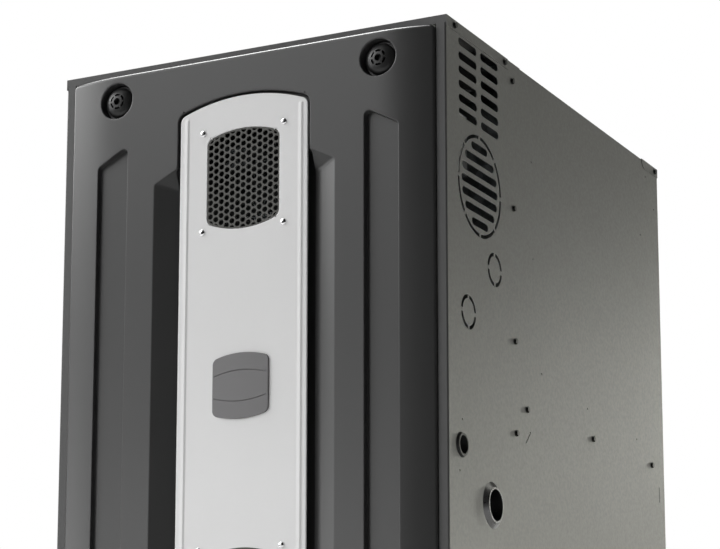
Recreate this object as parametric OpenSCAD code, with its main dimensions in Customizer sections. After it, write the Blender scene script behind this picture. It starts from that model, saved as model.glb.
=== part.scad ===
// Forced air gas furnace, upflow, with a one-piece tilt-out front door.
// X runs across the cabinet, Y from the front to the back, Z up.
// The origin is at the centre of the base, on the floor.

/* [Cabinet] */
// Width across the two side walls
cab_w = 533.4; // [500:0.1:622.3]
// Height from the floor to the top cover
cab_h = 863.6; // [850:0.1:1016]
// Depth of the side walls, front strip to back edge
cab_d = 714; // [705:0.1:760]
// Thickness of the cabinet sheet steel
sheet = 1; // [0.8:0.1:1.2]
// Width of the front strip on each side of the door
strip_w = 12.7; // [10:0.1:16]
// How far the gasket ledge lies behind the front strips
jog_d = 19; // [18:0.5:24]
// Width of the gasket ledge
ledge_w = 16; // [14:0.5:18]
// Height of the top cover's lip above the door
lip_h = 10; // [8:0.5:12]
// Height of the base rail under the door
rail_h = 19.9; // [18:0.1:24]
// Width of the turned-in duct flanges around the supply opening
duct_flange_w = 19; // [14:1:22]
// Depth of the rear top rail
rear_rail_d = 62; // [50:1:70]
// Height of the top cover's side flange
cover_flange_h = 13.5; // [11:0.5:15]
// Length of the top cover's side flange
cover_flange_l = 181; // [170:1:190]

/* [Compartments] */
// Depth of the vestibule, from the front strips to its panel
vest_d = 201; // [196:1:210]
// Distance from the top cover down to the blower deck
deck_drop = 431.6; // [425:0.1:440]
// Margin from each side wall to the return air opening in the base
return_side = 46.7; // [44:0.1:70]
// Margin from the back to the return air opening
return_back = 84; // [70:1:120]

/* [Door] */
// Distance of the door face in front of the front strips
door_proud = 14.25; // [13:0.25:16]
// Gap between the door's side edges and the front strips
door_gap = 0.8; // [0.5:0.1:1.5]
// Gap between the door's top edge and the top cover's lip
door_top_gap = 1; // [0.8:0.1:2]
// Thickness of the moulded door shell
shell_t = 2; // [1.5:0.1:2.5]
// Width of the part of the door face that rolls back at each side
roll_w = 73.2; // [68:0.1:83]
// How far the face rolls back at the side edges
roll_drop = 10.25; // [8:0.25:11]
// Radius of the rounded top and bottom edges of the face
edge_r = 4.5; // [3:0.5:6]

/* [Door face] */
// Half width of the silver centre panel
panel_half = 89; // [84:0.5:92]
// Distance from the door's top edge to the panel's highest point
panel_drop = 52.7; // [48:0.1:58]
// Rise of the arch at the panel's top and bottom
panel_rise = 17.7; // [12:0.1:20]
// Width of the dark seam around the panel
seam = 3; // [2:0.5:4]
// How far the panel's face lies below the door's face
panel_sunk = 1; // [0.5:0.25:1.5]
// Half width of the bevelled recess at the door's face
recess_half = 126; // [122:1:130]
// Depth of the bevelled recess
recess_d = 20; // [16:1:21]
// Distance from the door's top edge to the recess's outer corner
recess_drop = 150; // [140:1:160]
// Distance from the door's side edges to the tall pockets
pocket_side = 43.8; // [40:0.1:49]
// Width of the tall pockets
pocket_w = 43.8; // [40:0.1:48]
// Distance from the door's top edge to the pockets' highest corner
pocket_drop = 94.3; // [90:0.1:100]
// Depth of the tall pockets
pocket_d = 7; // [6:0.5:10]
// Distance from the door's side edges to the knobs
knob_side = 69.9; // [66:0.1:73]
// Distance from the top cover down to the knobs
knob_drop = 44.6; // [42:0.1:48]
// Diameter of the quarter-turn knobs
knob_d = 39; // [35:0.5:40]
// Diameter of the cups that the knobs stand in
cup_d = 46; // [42:0.5:48]
// Depth of the knob cups
cup_depth = 13; // [11:0.5:14]

/* [Grilles and badge] */
// Half width of the grille windows
window_half = 50.2; // [44:0.1:51]
// Half height of the blank badge plate
badge_half_h = 40.4; // [34:0.1:44]
// Half width of the blank badge plate
badge_half_w = 38.4; // [32:0.1:42]
// Thickness of the blank badge plate
badge_t = 3; // [2:0.25:4]
// Distance between neighbouring mesh holes
mesh_pitch = 8.75; // [8.5:0.05:10]
// Diameter of the mesh holes
mesh_hole_d = 6.8; // [5:0.1:7.2]

/* [Side walls] */
// Length of a louvre slot
louvre_l = 52; // [44:1:54]
// Height of a louvre slot
louvre_h = 10; // [8:0.5:11]
// Distance between rows of louvre slots
louvre_pitch = 17.57; // [16:0.01:18]
// Radius of the large vented knock-out
vent_ko_r = 61; // [58:0.5:62]
// Radius of the small gas pipe knock-outs
pipe_ko_r = 18.7; // [16:0.1:20]
// Bore of the conduit bushings
conduit_bore_d = 22.4; // [20:0.2:24]
// Bore of the drain couplings
drain_bore_d = 38; // [35:0.5:40]

/* [Air, gas and flue] */
// Number of burners and heat exchanger tubes
burners_n = 4; // [3:1:4]
// Distance between neighbouring burners
burner_pitch = 76; // [66:1:78]
// Outer diameter of the heat exchanger tubes
hx_tube_d = 44.5; // [38:0.5:45]
// Outer diameter of the plastic vent pipe
vent_pipe_d = 60.3; // [60.3:0.1:62]
// Diameter of the blower wheel
wheel_d = 254; // [240:1:256]
// Width of the blower wheel
wheel_w = 216; // [190:1:220]
// Number of blades on the blower wheel
blades_n = 40; // [30:1:44]
// Width of the blower housing
scroll_w = 254; // [248:1:270]

/* [Hidden] */

// Facets of round things, small and large
fine = 48;
round_n = 96;
// Steps in a rounded corner and along an arch
corner_steps = 5;
arch_n = 12;
// Overrun of every cut
over = 2;
// Gap between sheet parts that nest in each other
nest = 0.2;
// Radial clearance of a turning pin
pin_gap = 0.1;

// Cabinet planes
half_w = cab_w / 2;
panel_t = 2;
panel_proud = door_proud - panel_sunk;
reach = panel_proud + badge_t;
front_y = (reach - cab_d) / 2;
back_y = front_y + cab_d;
wall_in = half_w - sheet;
top_in = cab_h - sheet;
back_in = back_y - 2 * sheet;
strip_in = half_w - strip_w;
ledge_in = strip_in - ledge_w;
ledge_y = front_y + jog_d;
bay_y = ledge_y + sheet + nest;
deck_z = cab_h - deck_drop;
vest_y = front_y + vest_d;
foot_w = 20;
rear_flange_w = 16;
side_flange = 13;
bend_r = 2;
cover_d = vest_d + duct_flange_w;

// Side wall features: from the front, from the top
screw_r = 2;
screw_head_af = 6.35;
screw_head_h = 3;
washer_r = 4;
washer_t = 0.6;
vest_screw_in = 6;
vest_screw_shares = [0.057, 0.4395, 0.8304];
vest_screws = [for (s = vest_screw_shares) [vest_d - vest_screw_in, s * deck_drop]];
deck_screw_front = 28.3;
deck_screw_back = 48.4;
deck_screw_low = 6;
deck_screw_shares = [0, 0.5, 1];
deck_screw_y0 = vest_d + deck_screw_front;
deck_screw_run = cab_d - deck_screw_back - deck_screw_y0;
deck_screws = [for (s = deck_screw_shares) [deck_screw_y0 + s * deck_screw_run, deck_drop + deck_screw_low]];
plate_screw_low = 41.4;
plate_screws = [[vest_d - vest_screw_in, deck_drop + plate_screw_low]];
cover_screw_front = 22.3;
cover_screw_back = 10.7;
cover_screw_drop = 7.2;
cover_screws = [for (y = [cover_screw_front, cover_flange_l - cover_screw_back]) [y, cover_screw_drop]];
rail_screw_in = 12.5;
rail_screw_drop = 6.4;
dimple_r = 1.4;
dimple_shares = [[0.355, 0.1321], [0.3566, 0.278], [0.3888, 0.4438], [0.6024, 0.4636], [0.8538, 0.4755],
    [0.9782, 0.0732], [0.8979, 0.132], [0.9338, 0.0264], [0.0536, 0.5589], [0.042, 0.63]];
dimples = [for (p = dimple_shares) [p[0] * cab_d, p[1] * cab_h]];
lance_w = 1.8;
lance_l = 21;
lance_shares = [[0.3258, 0.5463], [0.9717, 0.5504]];
lance_angles = [48, 92];
louvre_in = 61.5;
louvre_col_pitch = 63.6;
louvre_ys = [louvre_in, louvre_in + louvre_col_pitch];
louvre_first = 21.4;
louvre_rows = 6;
vent_ko_y = 93.8;
vent_ko_drop = 188.1;
ko_slit = 4.5;
ko_bridge = 4.5;
ko_slot_h = 9.5;
ko_slot_pitch = 15.7;
ko_slot_margin = 8.5;
ko_rows = 3;
pipe_ko_shares = [[0.6746, 0.6527], [0.2896, 0.8121]];
pipe_kos = [for (p = pipe_ko_shares) [p[0] * vest_d, p[1] * deck_drop]];
pipe_ko_bridge = 5;
conduit_y = 36;
conduit_low = 81.6;
conduit_drop = deck_drop + conduit_low;
conduit_base_r = 15;
conduit_lip_r = 13.4;
conduit_proud = 3;
conduit_barb = 0.2;
drain_y = 122;
drain_low = 140.4;
drain_drop = deck_drop + drain_low;
drain_base_r = 28;
drain_lip_r = 21.4;
drain_proud = 5;
bush_in = 12;
bush_nut_t = 6;

// Top cover and pipes through it
pipe_in = 61.7;
pipe_x = half_w - pipe_in;
collar_t = 3;
collar_gap = 0.15;
collar_l = 46;
collar_low = 11;
collar_flange = 7;

// Base and rails
base_flange_h = 15;
base_front_d = 31;
return_front = 120;
return_w = cab_w - 2 * return_side;
return_y0 = front_y + return_front;
return_l = cab_d - return_front - return_back;
tongue_x = 150;
tongue_w = 30;
tongue_l = 6;
tongue_gap = 2;
header_h = 82;

// Door
door_half = strip_in - door_gap;
door_low_gap = 0.3;
door_z0 = rail_h + door_low_gap;
door_z1 = cab_h - lip_h - door_top_gap;
door_mid = (door_z0 + door_z1) / 2;
door_half_h = (door_z1 - door_z0) / 2;
face_y = front_y - door_proud;
flat_half = door_half - roll_w;
roll_r = (roll_w * roll_w + roll_drop * roll_drop) / (2 * roll_drop);
liner_t = 1;
gasket_gap = 0.3;
gasket_t = 5.7;
liner_y = ledge_y - gasket_gap - gasket_t;
gasket_w = 10;
gasket_out = (strip_in + ledge_in) / 2 + gasket_w / 2;
gasket_in = 4;
gasket_out_h = door_half_h - gasket_in;
boss_r = 5;
seat_d = 10;
pocket_out = door_half - pocket_side;
pocket_in = pocket_out - pocket_w;
pocket_slant = 23;
pocket_r = 6;
draft = 1;
recess_in = 92;
recess_slant = 17;
recess_run = 38;
recess_fall = 24;
window_edge = 4;
knob_x = door_half - knob_side;
knob_z = cab_h - knob_drop;
cup_wall = 2;
liner_slot_h = 8;
liner_slot_pitch = 18;
liner_slots = 6;

// Centre panel, grilles and badge
panel_top = door_half_h - panel_drop;
panel_corner_r = 10;
bead_in = 9.5;
bead_half = 4.5;
bead_h = 1.5;
bead_r = (bead_half * bead_half + bead_h * bead_h) / (2 * bead_h);
bead_end = 19;
panel_screw_x = 56.4;
panel_screw_drop = 42.1;
panel_screw_run = 125.7;
panel_screw_zs = [panel_top - panel_screw_drop, panel_top - panel_screw_drop - panel_screw_run];
pan_r = 3.6;
pan_h = 2.4;
window_drop = 41.7;
window_h = 126.8;
window_top = panel_top - window_drop;
window_bottom = window_top - window_h;
window_top_rise = 10.1;
window_bottom_rise = 11;
window_r = 11;
rim_w = 1.8;
mesh_t = 1;
mesh_sunk = 0.6;
mesh_margin = 14;
badge_rise = 6.5;
badge_r = 8;
groove_drop = 12.5;
groove_w = 0.8;
groove_d = 0.6;

// Knobs
knob_gap = 0.3;
knob_sunk = 0.5;
knob_hole_r = 4.4;
knob_slot_r = 8.7;
knob_slot_w = 2.6;
knob_bridge = 2.2;
knob_slot_d = 5;
knob_dome = 9;
dome_steps = 10;
stud_r = 3.5;
wing_l = 20;
wing_w = 5;
wing_t = 3;
wing_gap = 0.6;
slot_gap = 1.5;
ring_out_r = 16;
ring_in_r = 12.5;
ring_t = 6;

// Heat exchanger
burner_drop = 63.6;
burner_z = cab_h - burner_drop;
tube_wall = 1.2;
pass_pitch = 76;
hx_front_bend = 72;
hx_back_gap = 96;
header_t = 44;
header_gap = 24;
header_side = 68.7;
header_half = half_w - header_side;
header_rise = 22;
header_z0 = deck_z + header_rise;
coil_rise = 38;
coil_z0 = deck_z + coil_rise;
coil_rows = 3;
coil_cols = 8;
coil_row_pitch = 40;
coil_tube_r = 6;
fin_t = 0.8;
fin_pitch = 12;
fin_margin = 16;

// Burners and gas train
burner_half = (burners_n - 1) * burner_pitch / 2;
box_margin = 38;
box_d = 81;
box_half_h = 45;
box_t = 1.2;
burner_r = 15;
burner_l = 62;
burner_gap = 10;
manifold_r = 10.6;
manifold_gap = 28;
manifold_y = vest_y - box_d - manifold_gap;
spud_r = 5;
orifice_r = 0.8;
valve_in = 61.7;
valve_x = half_w - valve_in;
valve_w = 62;
valve_d = 66;
valve_h = 88;
valve_drop = 24;
valve_port_r = 9.2;
valve_port_boss = 14;
valve_port_l = 14;
toggle_w = 8;
toggle_h = 12;
toggle_t = 7;
toggle_run = 10;
coil_cap_r = 17;
coil_cap_h = 24;

// Sensors
igniter_w = 24;
igniter_h = 16;
igniter_t = 10;
rod_r = 1.6;
rollout_r = 9;
rollout_t = 10;
button_r = 2.5;
button_h = 4;
button_in = 5;
limit_r = 12;
limit_t = 12;

// Flue side
cold_d = 26;
cold_side = 76.7;
cold_half = half_w - cold_side;
cold_rise = 8;
cold_z0 = deck_z + cold_rise;
cold_h = 190;
cold_t = 3;
fan_rise = 148;
fan_z = deck_z + fan_rise;
fan_side = 121.7;
fan_x = fan_side - half_w;
fan_r = 56;
fan_scroll_r = 66;
fan_d = 44;
pipe_y = vest_y - cold_d - fan_d / 2;
fan_duct_r = 34;
fan_wheel_t = 22;
fan_wall = 3;
fan_eye_r = 26;
fan_shaft_r = 4;
fan_motor_r = 40;
fan_motor_l = 62;
fan_post_l = 10;
fan_post_r = 4;

// Drain and pressure
trap_side = 70.7;
trap_x = half_w - trap_side;
trap_w = 70;
trap_d = 44;
trap_h = 96;
trap_drop = 30;
drain_pipe_r = 10;
drain_stop = 4;
hose_r = 8;
hose_wall = 1.5;
press_r = 34;
press_t = 26;
press_x = 60;
press_drop = 169.6;
press_z = cab_h - press_drop;
press_gap = 12;
tube_r = 3;

// Controls
plate_h = 150;
plate_z0 = deck_z - plate_h;
plate_flange = 12;
board_side = 96.7;
board_w = 190;
board_x0 = board_side - half_w;
board_x1 = board_x0 + board_w;
board_h = 112;
board_t = 1.6;
board_stand = 12;
board_low = 14;
stand_r = 3.5;
relay_w = 16;
relay_h = 20;
relay_t = 15;
trafo_x = 75;
trafo_w = 66;
trafo_h = 56;
trafo_t = 46;
switch_x = 48;
switch_w = 28;
switch_h = 22;
switch_d = 30;
switch_front = 32;
plunger_r = 3;
plunger_in = 14;
box_w = 46;
box_depth = 44;
box_h = 56;

// Blower
scroll_in = 420;
scroll_y = front_y + scroll_in;
scroll_z = 205;
scroll_steps = 36;
scroll_start_a = 115;
scroll_gap = 13;
scroll_growth = 55;
scroll_r0 = wheel_d / 2 + scroll_gap;
scroll_r1 = scroll_r0 + scroll_growth;
inlet_in = 19;
inlet_r = wheel_d / 2 - inlet_in;
inlet_lip = 8;
blade_d = 15;
blade_t = 1;
blade_a = 50;
ring_w = 4;
hub_r = 20;
hub_l = 36;
disc_t = 2;
shaft_r = 6.35;
motor_r = 70;
motor_l = 118;
motor_gap = 8;
band_w = 22;
band_t = 1.5;
arm_r = 4;
arms_n = 3;

// Insulation and harness
insul_t = 10;
insul_in = 18;
wire_r = 4;
wire_in = 10;

// Boxes and rods given by their low and high ends
module block(x, y, z) {
    translate([x[0], y[0], z[0]]) cube([x[1] - x[0], y[1] - y[0], z[1] - z[0]]);
}
module rod_x(x, y, z, r, n = fine) {
    translate([x[0], y, z]) rotate([0, 90, 0]) cylinder(h = x[1] - x[0], r = r, $fn = n);
}
module rod_y(x, y, z, r, n = fine) {
    translate([x, y[0], z]) rotate([-90, 0, 0]) cylinder(h = y[1] - y[0], r = r, $fn = n);
}
module rod_z(x, y, z, r, n = fine) {
    translate([x, y, z[0]]) cylinder(h = z[1] - z[0], r = r, $fn = n);
}
module cone_x(x, y, z, r1, r2) {
    translate([x[0], y, z]) rotate([0, 90, 0]) cylinder(h = x[1] - x[0], r1 = r1, r2 = r2, $fn = fine);
}
// A flat outline in X and Z, made solid between two depths
module front_plate(y) {
    translate([0, y[1], 0]) rotate([90, 0, 0]) linear_extrude(height = y[1] - y[0]) children();
}
// A flat outline in Y and Z, made solid between two widths
module side_plate(x) {
    translate([x[0], 0, 0]) rotate([90, 0, 90]) linear_extrude(height = x[1] - x[0]) children();
}
module pair() {
    children();
    mirror([1, 0, 0]) children();
}

// Outlines with rounded corners: each point is [x, z, corner radius]
function unit(v) = v / norm(v);
function round_corner(a, b, c, r) =
    r == 0 ? [b] :
    let (u = unit(a - b), v = unit(c - b), half = acos(u * v) / 2)
    let (mid = b + unit(u + v) * r / sin(half))
    let (p = b + u * r / tan(half) - mid, q = b + v * r / tan(half) - mid)
    let (g0 = atan2(p[1], p[0]), d = atan2(q[1], q[0]) - g0)
    let (sweep = d > 180 ? d - 360 : (d < -180 ? d + 360 : d))
    [for (i = [0:corner_steps])
        let (a = g0 + sweep * i / corner_steps)
        mid + r * [cos(a), sin(a)]];
function flat2(p) = [p[0], p[1]];
function rounded(p) =
    let (n = len(p))
    [for (i = [0:n - 1])
        each round_corner(flat2(p[(i + n - 1) % n]), flat2(p[i]), flat2(p[(i + 1) % n]), p[i][2])];

// An arch from +half to -half that rises by rise in its middle
function arch_r(half, rise) = (half * half + rise * rise) / (2 * rise);
function arch(half, z, rise, dir, r) =
    let (big = arch_r(half, rise))
    [for (i = [0:arch_n])
        let (x = dir * half * (1 - 2 * i / arch_n))
        [x, z + dir * (sqrt(big * big - x * x) - big + rise), (i == 0 || i == arch_n) ? r : 0]];
// A plate with an arched top and bottom, about the middle height z0
function arched(half, top, top_rise, bottom, bottom_rise, r) =
    rounded(concat(arch(half, top - top_rise, top_rise, 1, r),
        arch(half, bottom + bottom_rise, bottom_rise, -1, r)));

// A narrow band that follows an arch
function arc_band(half, z, rise, w) =
    let (a = arch(half, z, rise, 1, 0))
    concat([for (p = a) flat2(p)], [for (i = [arch_n:-1:0]) flat2(a[i]) - [0, w]]);

function panel_outline(g) = arched(panel_half + g, panel_top + g, panel_rise,
    -panel_top - g, panel_rise, panel_corner_r + g);
function window_outline(g) = arched(window_half + g, window_top + g, window_top_rise,
    window_bottom - g, window_bottom_rise, window_r + g);
function badge_outline() = arched(badge_half_w, badge_half_h, badge_rise,
    -badge_half_h, badge_rise, badge_r);

module about_door() {
    translate([0, 0, door_mid]) children();
}
module top_and_bottom() {
    about_door() {
        children();
        mirror([0, 0, 1]) children();
    }
}

// Hex-headed screw, pointing along -X from x = 0
module hex_screw(l) {
    rod_x([0, washer_t], 0, 0, washer_r, fine);
    rotate([0, 90, 0]) cylinder(h = screw_head_h, r = screw_head_af / sqrt(3), $fn = 6);
    rod_x([-l, 0], 0, 0, screw_r, fine);
}
module side_spots(list) {
    for (p = list) translate([0, front_y + p[0], cab_h - p[1]]) children();
}
module rail_spot() {
    translate([0, back_y - rail_screw_in, cab_h - rail_screw_drop]) children();
}
function screw_hole_r() = screw_r + pin_gap;
module screw_hole() {
    rod_x([half_w - 3 * sheet - over, half_w + sheet + over], 0, 0, screw_hole_r(), fine);
}

module side_screw_holes() {
    pair() {
        side_spots(concat(vest_screws, deck_screws, plate_screws, cover_screws)) screw_hole();
        rail_spot() screw_hole();
    }
}

// Side walls
module slot2d(l, h) {
    square([l - h, h], center = true);
    for (s = [-1, 1]) translate([s * (l - h) / 2, 0]) circle(d = h, $fn = 24);
}
module ring_slit(r, w, bridge, bridges) {
    difference() {
        circle(r = r + w / 2, $fn = round_n);
        circle(r = r - w / 2, $fn = round_n);
        for (i = [0:bridges / 2 - 1])
            rotate(i * 360 / bridges) square([2 * r + 2 * w, bridge], center = true);
    }
}
module side_openings() {
    for (y = louvre_ys, i = [0:louvre_rows - 1])
        translate([front_y + y, cab_h - louvre_first - i * louvre_pitch]) slot2d(louvre_l, louvre_h);
    translate([front_y + vent_ko_y, cab_h - vent_ko_drop]) {
        ring_slit(vent_ko_r, ko_slit, ko_bridge, 8);
        for (i = [-ko_rows:ko_rows]) {
            r = vent_ko_r - ko_slot_margin;
            z = i * ko_slot_pitch;
            translate([0, z]) slot2d(2 * sqrt(r * r - z * z), ko_slot_h);
        }
    }
    for (p = pipe_kos)
        translate([front_y + p[0], cab_h - p[1]]) ring_slit(pipe_ko_r, ko_slit, pipe_ko_bridge, 4);
    for (p = dimples) translate([front_y + p[0], cab_h - p[1]]) circle(r = dimple_r, $fn = 16);
    for (i = [0:len(lance_shares) - 1])
        translate([front_y + lance_shares[i][0] * cab_d, cab_h - lance_shares[i][1] * cab_h])
        rotate(lance_angles[i]) square([lance_l, lance_w], center = true);
    translate([front_y + conduit_y, cab_h - conduit_drop]) circle(r = conduit_lip_r + pin_gap, $fn = fine);
    translate([front_y + drain_y, cab_h - drain_drop]) circle(r = drain_lip_r + pin_gap, $fn = fine);
}
// The bend between the side wall and the front strip
module front_bend(r, side, z) {
    difference() {
        block([half_w - bend_r, half_w + side], [front_y - side, front_y + bend_r], z);
        rod_z(half_w - bend_r, front_y + bend_r, [z[0] - over, z[1] + over], r, fine);
    }
}
module side_panel() {
    z = [0, cab_h - lip_h];
    difference() {
        union() {
            front_bend(bend_r - sheet, 0, z);
            block([wall_in, half_w], [front_y, back_y], [0, top_in]);
            block([strip_in, half_w], [front_y, front_y + sheet], z);
            block([strip_in, strip_in + sheet], [front_y, ledge_y + sheet], z);
            block([ledge_in, strip_in + sheet], [ledge_y, ledge_y + sheet], z);
            block([half_w - rear_flange_w, half_w], [back_y - sheet, back_y], [0, top_in]);
            block([half_w - duct_flange_w, half_w], [bay_y, back_y], [top_in - sheet, top_in]);
            block([half_w - foot_w, half_w], [front_y, back_y], [0, sheet]);
        }
        front_bend(bend_r, over, [-over, cab_h - lip_h]);
        side_plate([wall_in - over, half_w + over]) side_openings();
        block([wall_in - over, half_w + over], [front_y - over, front_y + sheet], [cab_h - lip_h, cab_h]);
        side_screw_holes();
    }
}
module side_panel_right() {
    color("dimgray") side_panel();
}
module side_panel_left() {
    color("dimgray") mirror([1, 0, 0]) side_panel();
}

module back_panel() {
    color("dimgray") {
        block([nest - wall_in, wall_in - nest], [back_in, back_y - sheet], [2 * sheet, top_in - sheet]);
        block([duct_flange_w + nest - half_w, half_w - duct_flange_w - nest],
            [back_in - side_flange, back_y - sheet], [top_in - sheet, top_in]);
    }
}

module base_pan() {
    y0 = front_y + base_front_d;
    color("gray") difference() {
        union() {
            block([nest - wall_in, wall_in - nest], [y0, back_in - nest], [sheet, 2 * sheet]);
            pair() block([return_w / 2, return_w / 2 + sheet], [return_y0, return_y0 + return_l],
                [sheet, base_flange_h]);
            for (y = [return_y0 - sheet, return_y0 + return_l])
                block([-return_w / 2 - sheet, return_w / 2 + sheet], [y, y + sheet], [sheet, base_flange_h]);
        }
        block([-return_w / 2, return_w / 2], [return_y0, return_y0 + return_l],
            [-over, base_flange_h + over]);
    }
}

module base_rail() {
    x = strip_in - nest;
    foot = half_w - foot_w - nest;
    color("dimgray") difference() {
        union() {
            block([-foot, foot], [front_y, front_y + sheet], [0, rail_h]);
            block([-x, x], [front_y, front_y + sheet], [sheet, rail_h]);
            block([-x, x], [front_y, ledge_y], [rail_h - sheet, rail_h]);
            block([nest - ledge_in, ledge_in - nest], [ledge_y, ledge_y + sheet],
                [rail_h - sheet, rail_h + ledge_w + ledge_w / 8]);
            block([nest - ledge_in, ledge_in - nest], [ledge_y - sheet, ledge_y + sheet],
                [rail_h - sheet, rail_h]);
            block([-foot, foot], [front_y, ledge_y - nest], [0, sheet]);
            block([nest - ledge_in, ledge_in - nest], [front_y, front_y + base_front_d], [0, sheet]);
        }
        pair() block([tongue_x - tongue_w / 2 - tongue_gap, tongue_x + tongue_w / 2 + tongue_gap],
            [liner_y - tongue_gap, liner_y + liner_t + tongue_gap], [rail_h - sheet - over, rail_h + over]);
    }
}

module top_cover() {
    side = half_w + sheet;
    color("dimgray") difference() {
        union() {
            block([-side, side], [front_y, front_y + cover_flange_l], [top_in, cab_h]);
            block([-half_w, half_w], [front_y, front_y + cover_d], [top_in, cab_h]);
            block([-side, side], [front_y, front_y + sheet], [cab_h - lip_h, cab_h]);
            pair() block([half_w, side], [front_y, front_y + cover_flange_l],
                [cab_h - cover_flange_h, cab_h]);
        }
        pair() rod_z(pipe_x, pipe_y, [top_in - over, cab_h + over],
            vent_pipe_d / 2 + collar_t + pin_gap, round_n);
        side_screw_holes();
    }
}

module rear_top_rail() {
    y0 = back_y - rear_rail_d;
    color("dimgray") difference() {
        union() {
            block([-half_w - sheet, half_w + sheet], [y0, back_y], [top_in, cab_h]);
            pair() side_plate([half_w, half_w + sheet]) polygon(rounded([[y0, cab_h, 0],
                [y0, cab_h - cover_flange_h + sheet, cover_flange_h - 2 * sheet],
                [back_y, cab_h - cover_flange_h + sheet, 0], [back_y, cab_h, 0]]));
        }
        side_screw_holes();
    }
}

// Slotted rail behind the door, for the knob studs
module stud_slot(y) {
    translate([knob_x, 0, knob_z]) {
        rod_y(0, y, 0, stud_r + slot_gap, fine);
        block([-wing_w / 2 - slot_gap, wing_w / 2 + slot_gap], y,
            [-wing_l / 2 - slot_gap, wing_l / 2 + slot_gap]);
    }
}
module header_rail() {
    x = ledge_in - nest;
    color("gray") difference() {
        union() {
            block([-x, x], [ledge_y, ledge_y + sheet], [cab_h - header_h, top_in]);
            block([-x, x], [ledge_y, ledge_y + side_flange], [top_in - sheet, top_in]);
            block([-x, x], [ledge_y, ledge_y + side_flange], [cab_h - header_h, cab_h - header_h + sheet]);
        }
        pair() stud_slot([ledge_y - over, ledge_y + sheet + over]);
    }
}
module latch_rings() {
    y0 = ledge_y + sheet;
    color("silver") pair() difference() {
        rod_y(knob_x, [y0, y0 + ring_t], knob_z, ring_out_r, round_n);
        rod_y(knob_x, [y0 - over, y0 + ring_t + over], knob_z, ring_in_r, round_n);
    }
}

// Blower deck: the shelf between the blower and the heat exchanger
function duct_y0() = scroll_y + scroll_r0 * cos(scroll_start_a);
function duct_y1() = scroll_y + scroll_r1;
module blower_deck() {
    x = wall_in - nest;
    color("gray") difference() {
        union() {
            block([-x, x], [bay_y, back_in - nest], [deck_z - sheet, deck_z]);
            pair() block([x - sheet, x], [vest_y, back_in - nest], [deck_z - side_flange, deck_z]);
        }
        block([-scroll_w / 2 + sheet, scroll_w / 2 - sheet], [duct_y0() + sheet, duct_y1() - sheet],
            [deck_z - sheet - over, deck_z + over]);
        rod_z(trap_x, vest_y - cold_d / 2, [deck_z - sheet - over, deck_z + over], hose_r + 2 * nest, fine);
        rod_z(-pipe_x, vest_y - wire_in, [deck_z - sheet - over, deck_z + over], wire_r + 2 * nest, fine);
        side_screw_holes();
    }
}

module burner_spots() {
    for (i = [0:burners_n - 1]) translate([i * burner_pitch - burner_half, 0, 0]) children();
}
module vestibule_panel() {
    x = wall_in - nest;
    mid = half_w - duct_flange_w - nest;
    color("gray") difference() {
        union() {
            block([-x, x], [vest_y, vest_y + sheet], [deck_z, top_in - sheet]);
            block([-mid, mid], [vest_y - side_flange, vest_y + sheet], [top_in - sheet, top_in]);
            pair() block([x - sheet, x], [vest_y - side_flange, vest_y], [deck_z, top_in - sheet]);
        }
        burner_spots() rod_y(0, [vest_y - over, vest_y + sheet + over], burner_z,
            hx_tube_d / 2 - tube_wall, fine);
        rod_y(0, [vest_y - over, vest_y + sheet + over], fan_z, fan_eye_r, fine);
        pair() rod_z(pipe_x, pipe_y, [top_in - sheet - over, top_in + over],
            vent_pipe_d / 2 + collar_t + collar_flange + nest, round_n);
        side_screw_holes();
    }
}

module control_plate() {
    x = wall_in - nest;
    z1 = deck_z - sheet;
    color("gray") difference() {
        union() {
            block([-x, x], [vest_y, vest_y + sheet], [plate_z0, z1 - side_flange]);
            block([sheet + nest - x, x - sheet - nest], [vest_y, vest_y + sheet], [plate_z0, z1]);
            block([sheet + nest - x, x - sheet - nest], [vest_y - plate_flange, vest_y], [z1 - sheet, z1]);
            pair() block([x - sheet, x], [vest_y - side_flange, vest_y + sheet],
                [plate_z0, z1 - side_flange]);
        }
        rod_z(trap_x, vest_y - cold_d / 2, [z1 - 2 * sheet - over, z1 + over], hose_r + 2 * nest, fine);
        rod_z(-pipe_x, vest_y - wire_in, [z1 - 2 * sheet - over, z1 + over], wire_r + 2 * nest, fine);
        side_screw_holes();
    }
}

module casing_screws() {
    color("black") pair() {
        translate([half_w, 0, 0])
            side_spots(concat(vest_screws, deck_screws, plate_screws)) hex_screw(3 * sheet);
        translate([half_w + sheet, 0, 0]) side_spots(cover_screws) hex_screw(3 * sheet);
        translate([half_w + sheet, 0, 0]) rail_spot() hex_screw(3 * sheet);
    }
}

// A bushing through the side wall: tapered outside, a nut inside
module bushing(y, drop, base_r, lip_r, proud, bore_r, nut_r) {
    translate([0, front_y + y, cab_h - drop]) difference() {
        union() {
            cone_x([half_w, half_w + proud], 0, 0, base_r, lip_r);
            rod_x([wall_in - bush_in, half_w], 0, 0, lip_r, fine);
            rod_x([wall_in - bush_nut_t, wall_in], 0, 0, nut_r, fine);
        }
        rod_x([wall_in - bush_in - over, half_w + proud + over], 0, 0, bore_r, fine);
    }
}
module conduit_bushings() {
    color("black") pair() bushing(conduit_y, conduit_drop, conduit_base_r, conduit_lip_r, conduit_proud,
        conduit_bore_d / 2, conduit_lip_r + conduit_barb);
}
module drain_couplings() {
    color("silver") pair() bushing(drain_y, drain_drop, drain_base_r, drain_lip_r, drain_proud,
        drain_bore_d / 2, drain_base_r);
}

module side_insulation() {
    color("lightgray") pair() block([wall_in - insul_t, wall_in],
        [vest_y + sheet + insul_in, back_in - insul_in], [deck_z, top_in - sheet]);
}

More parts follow.
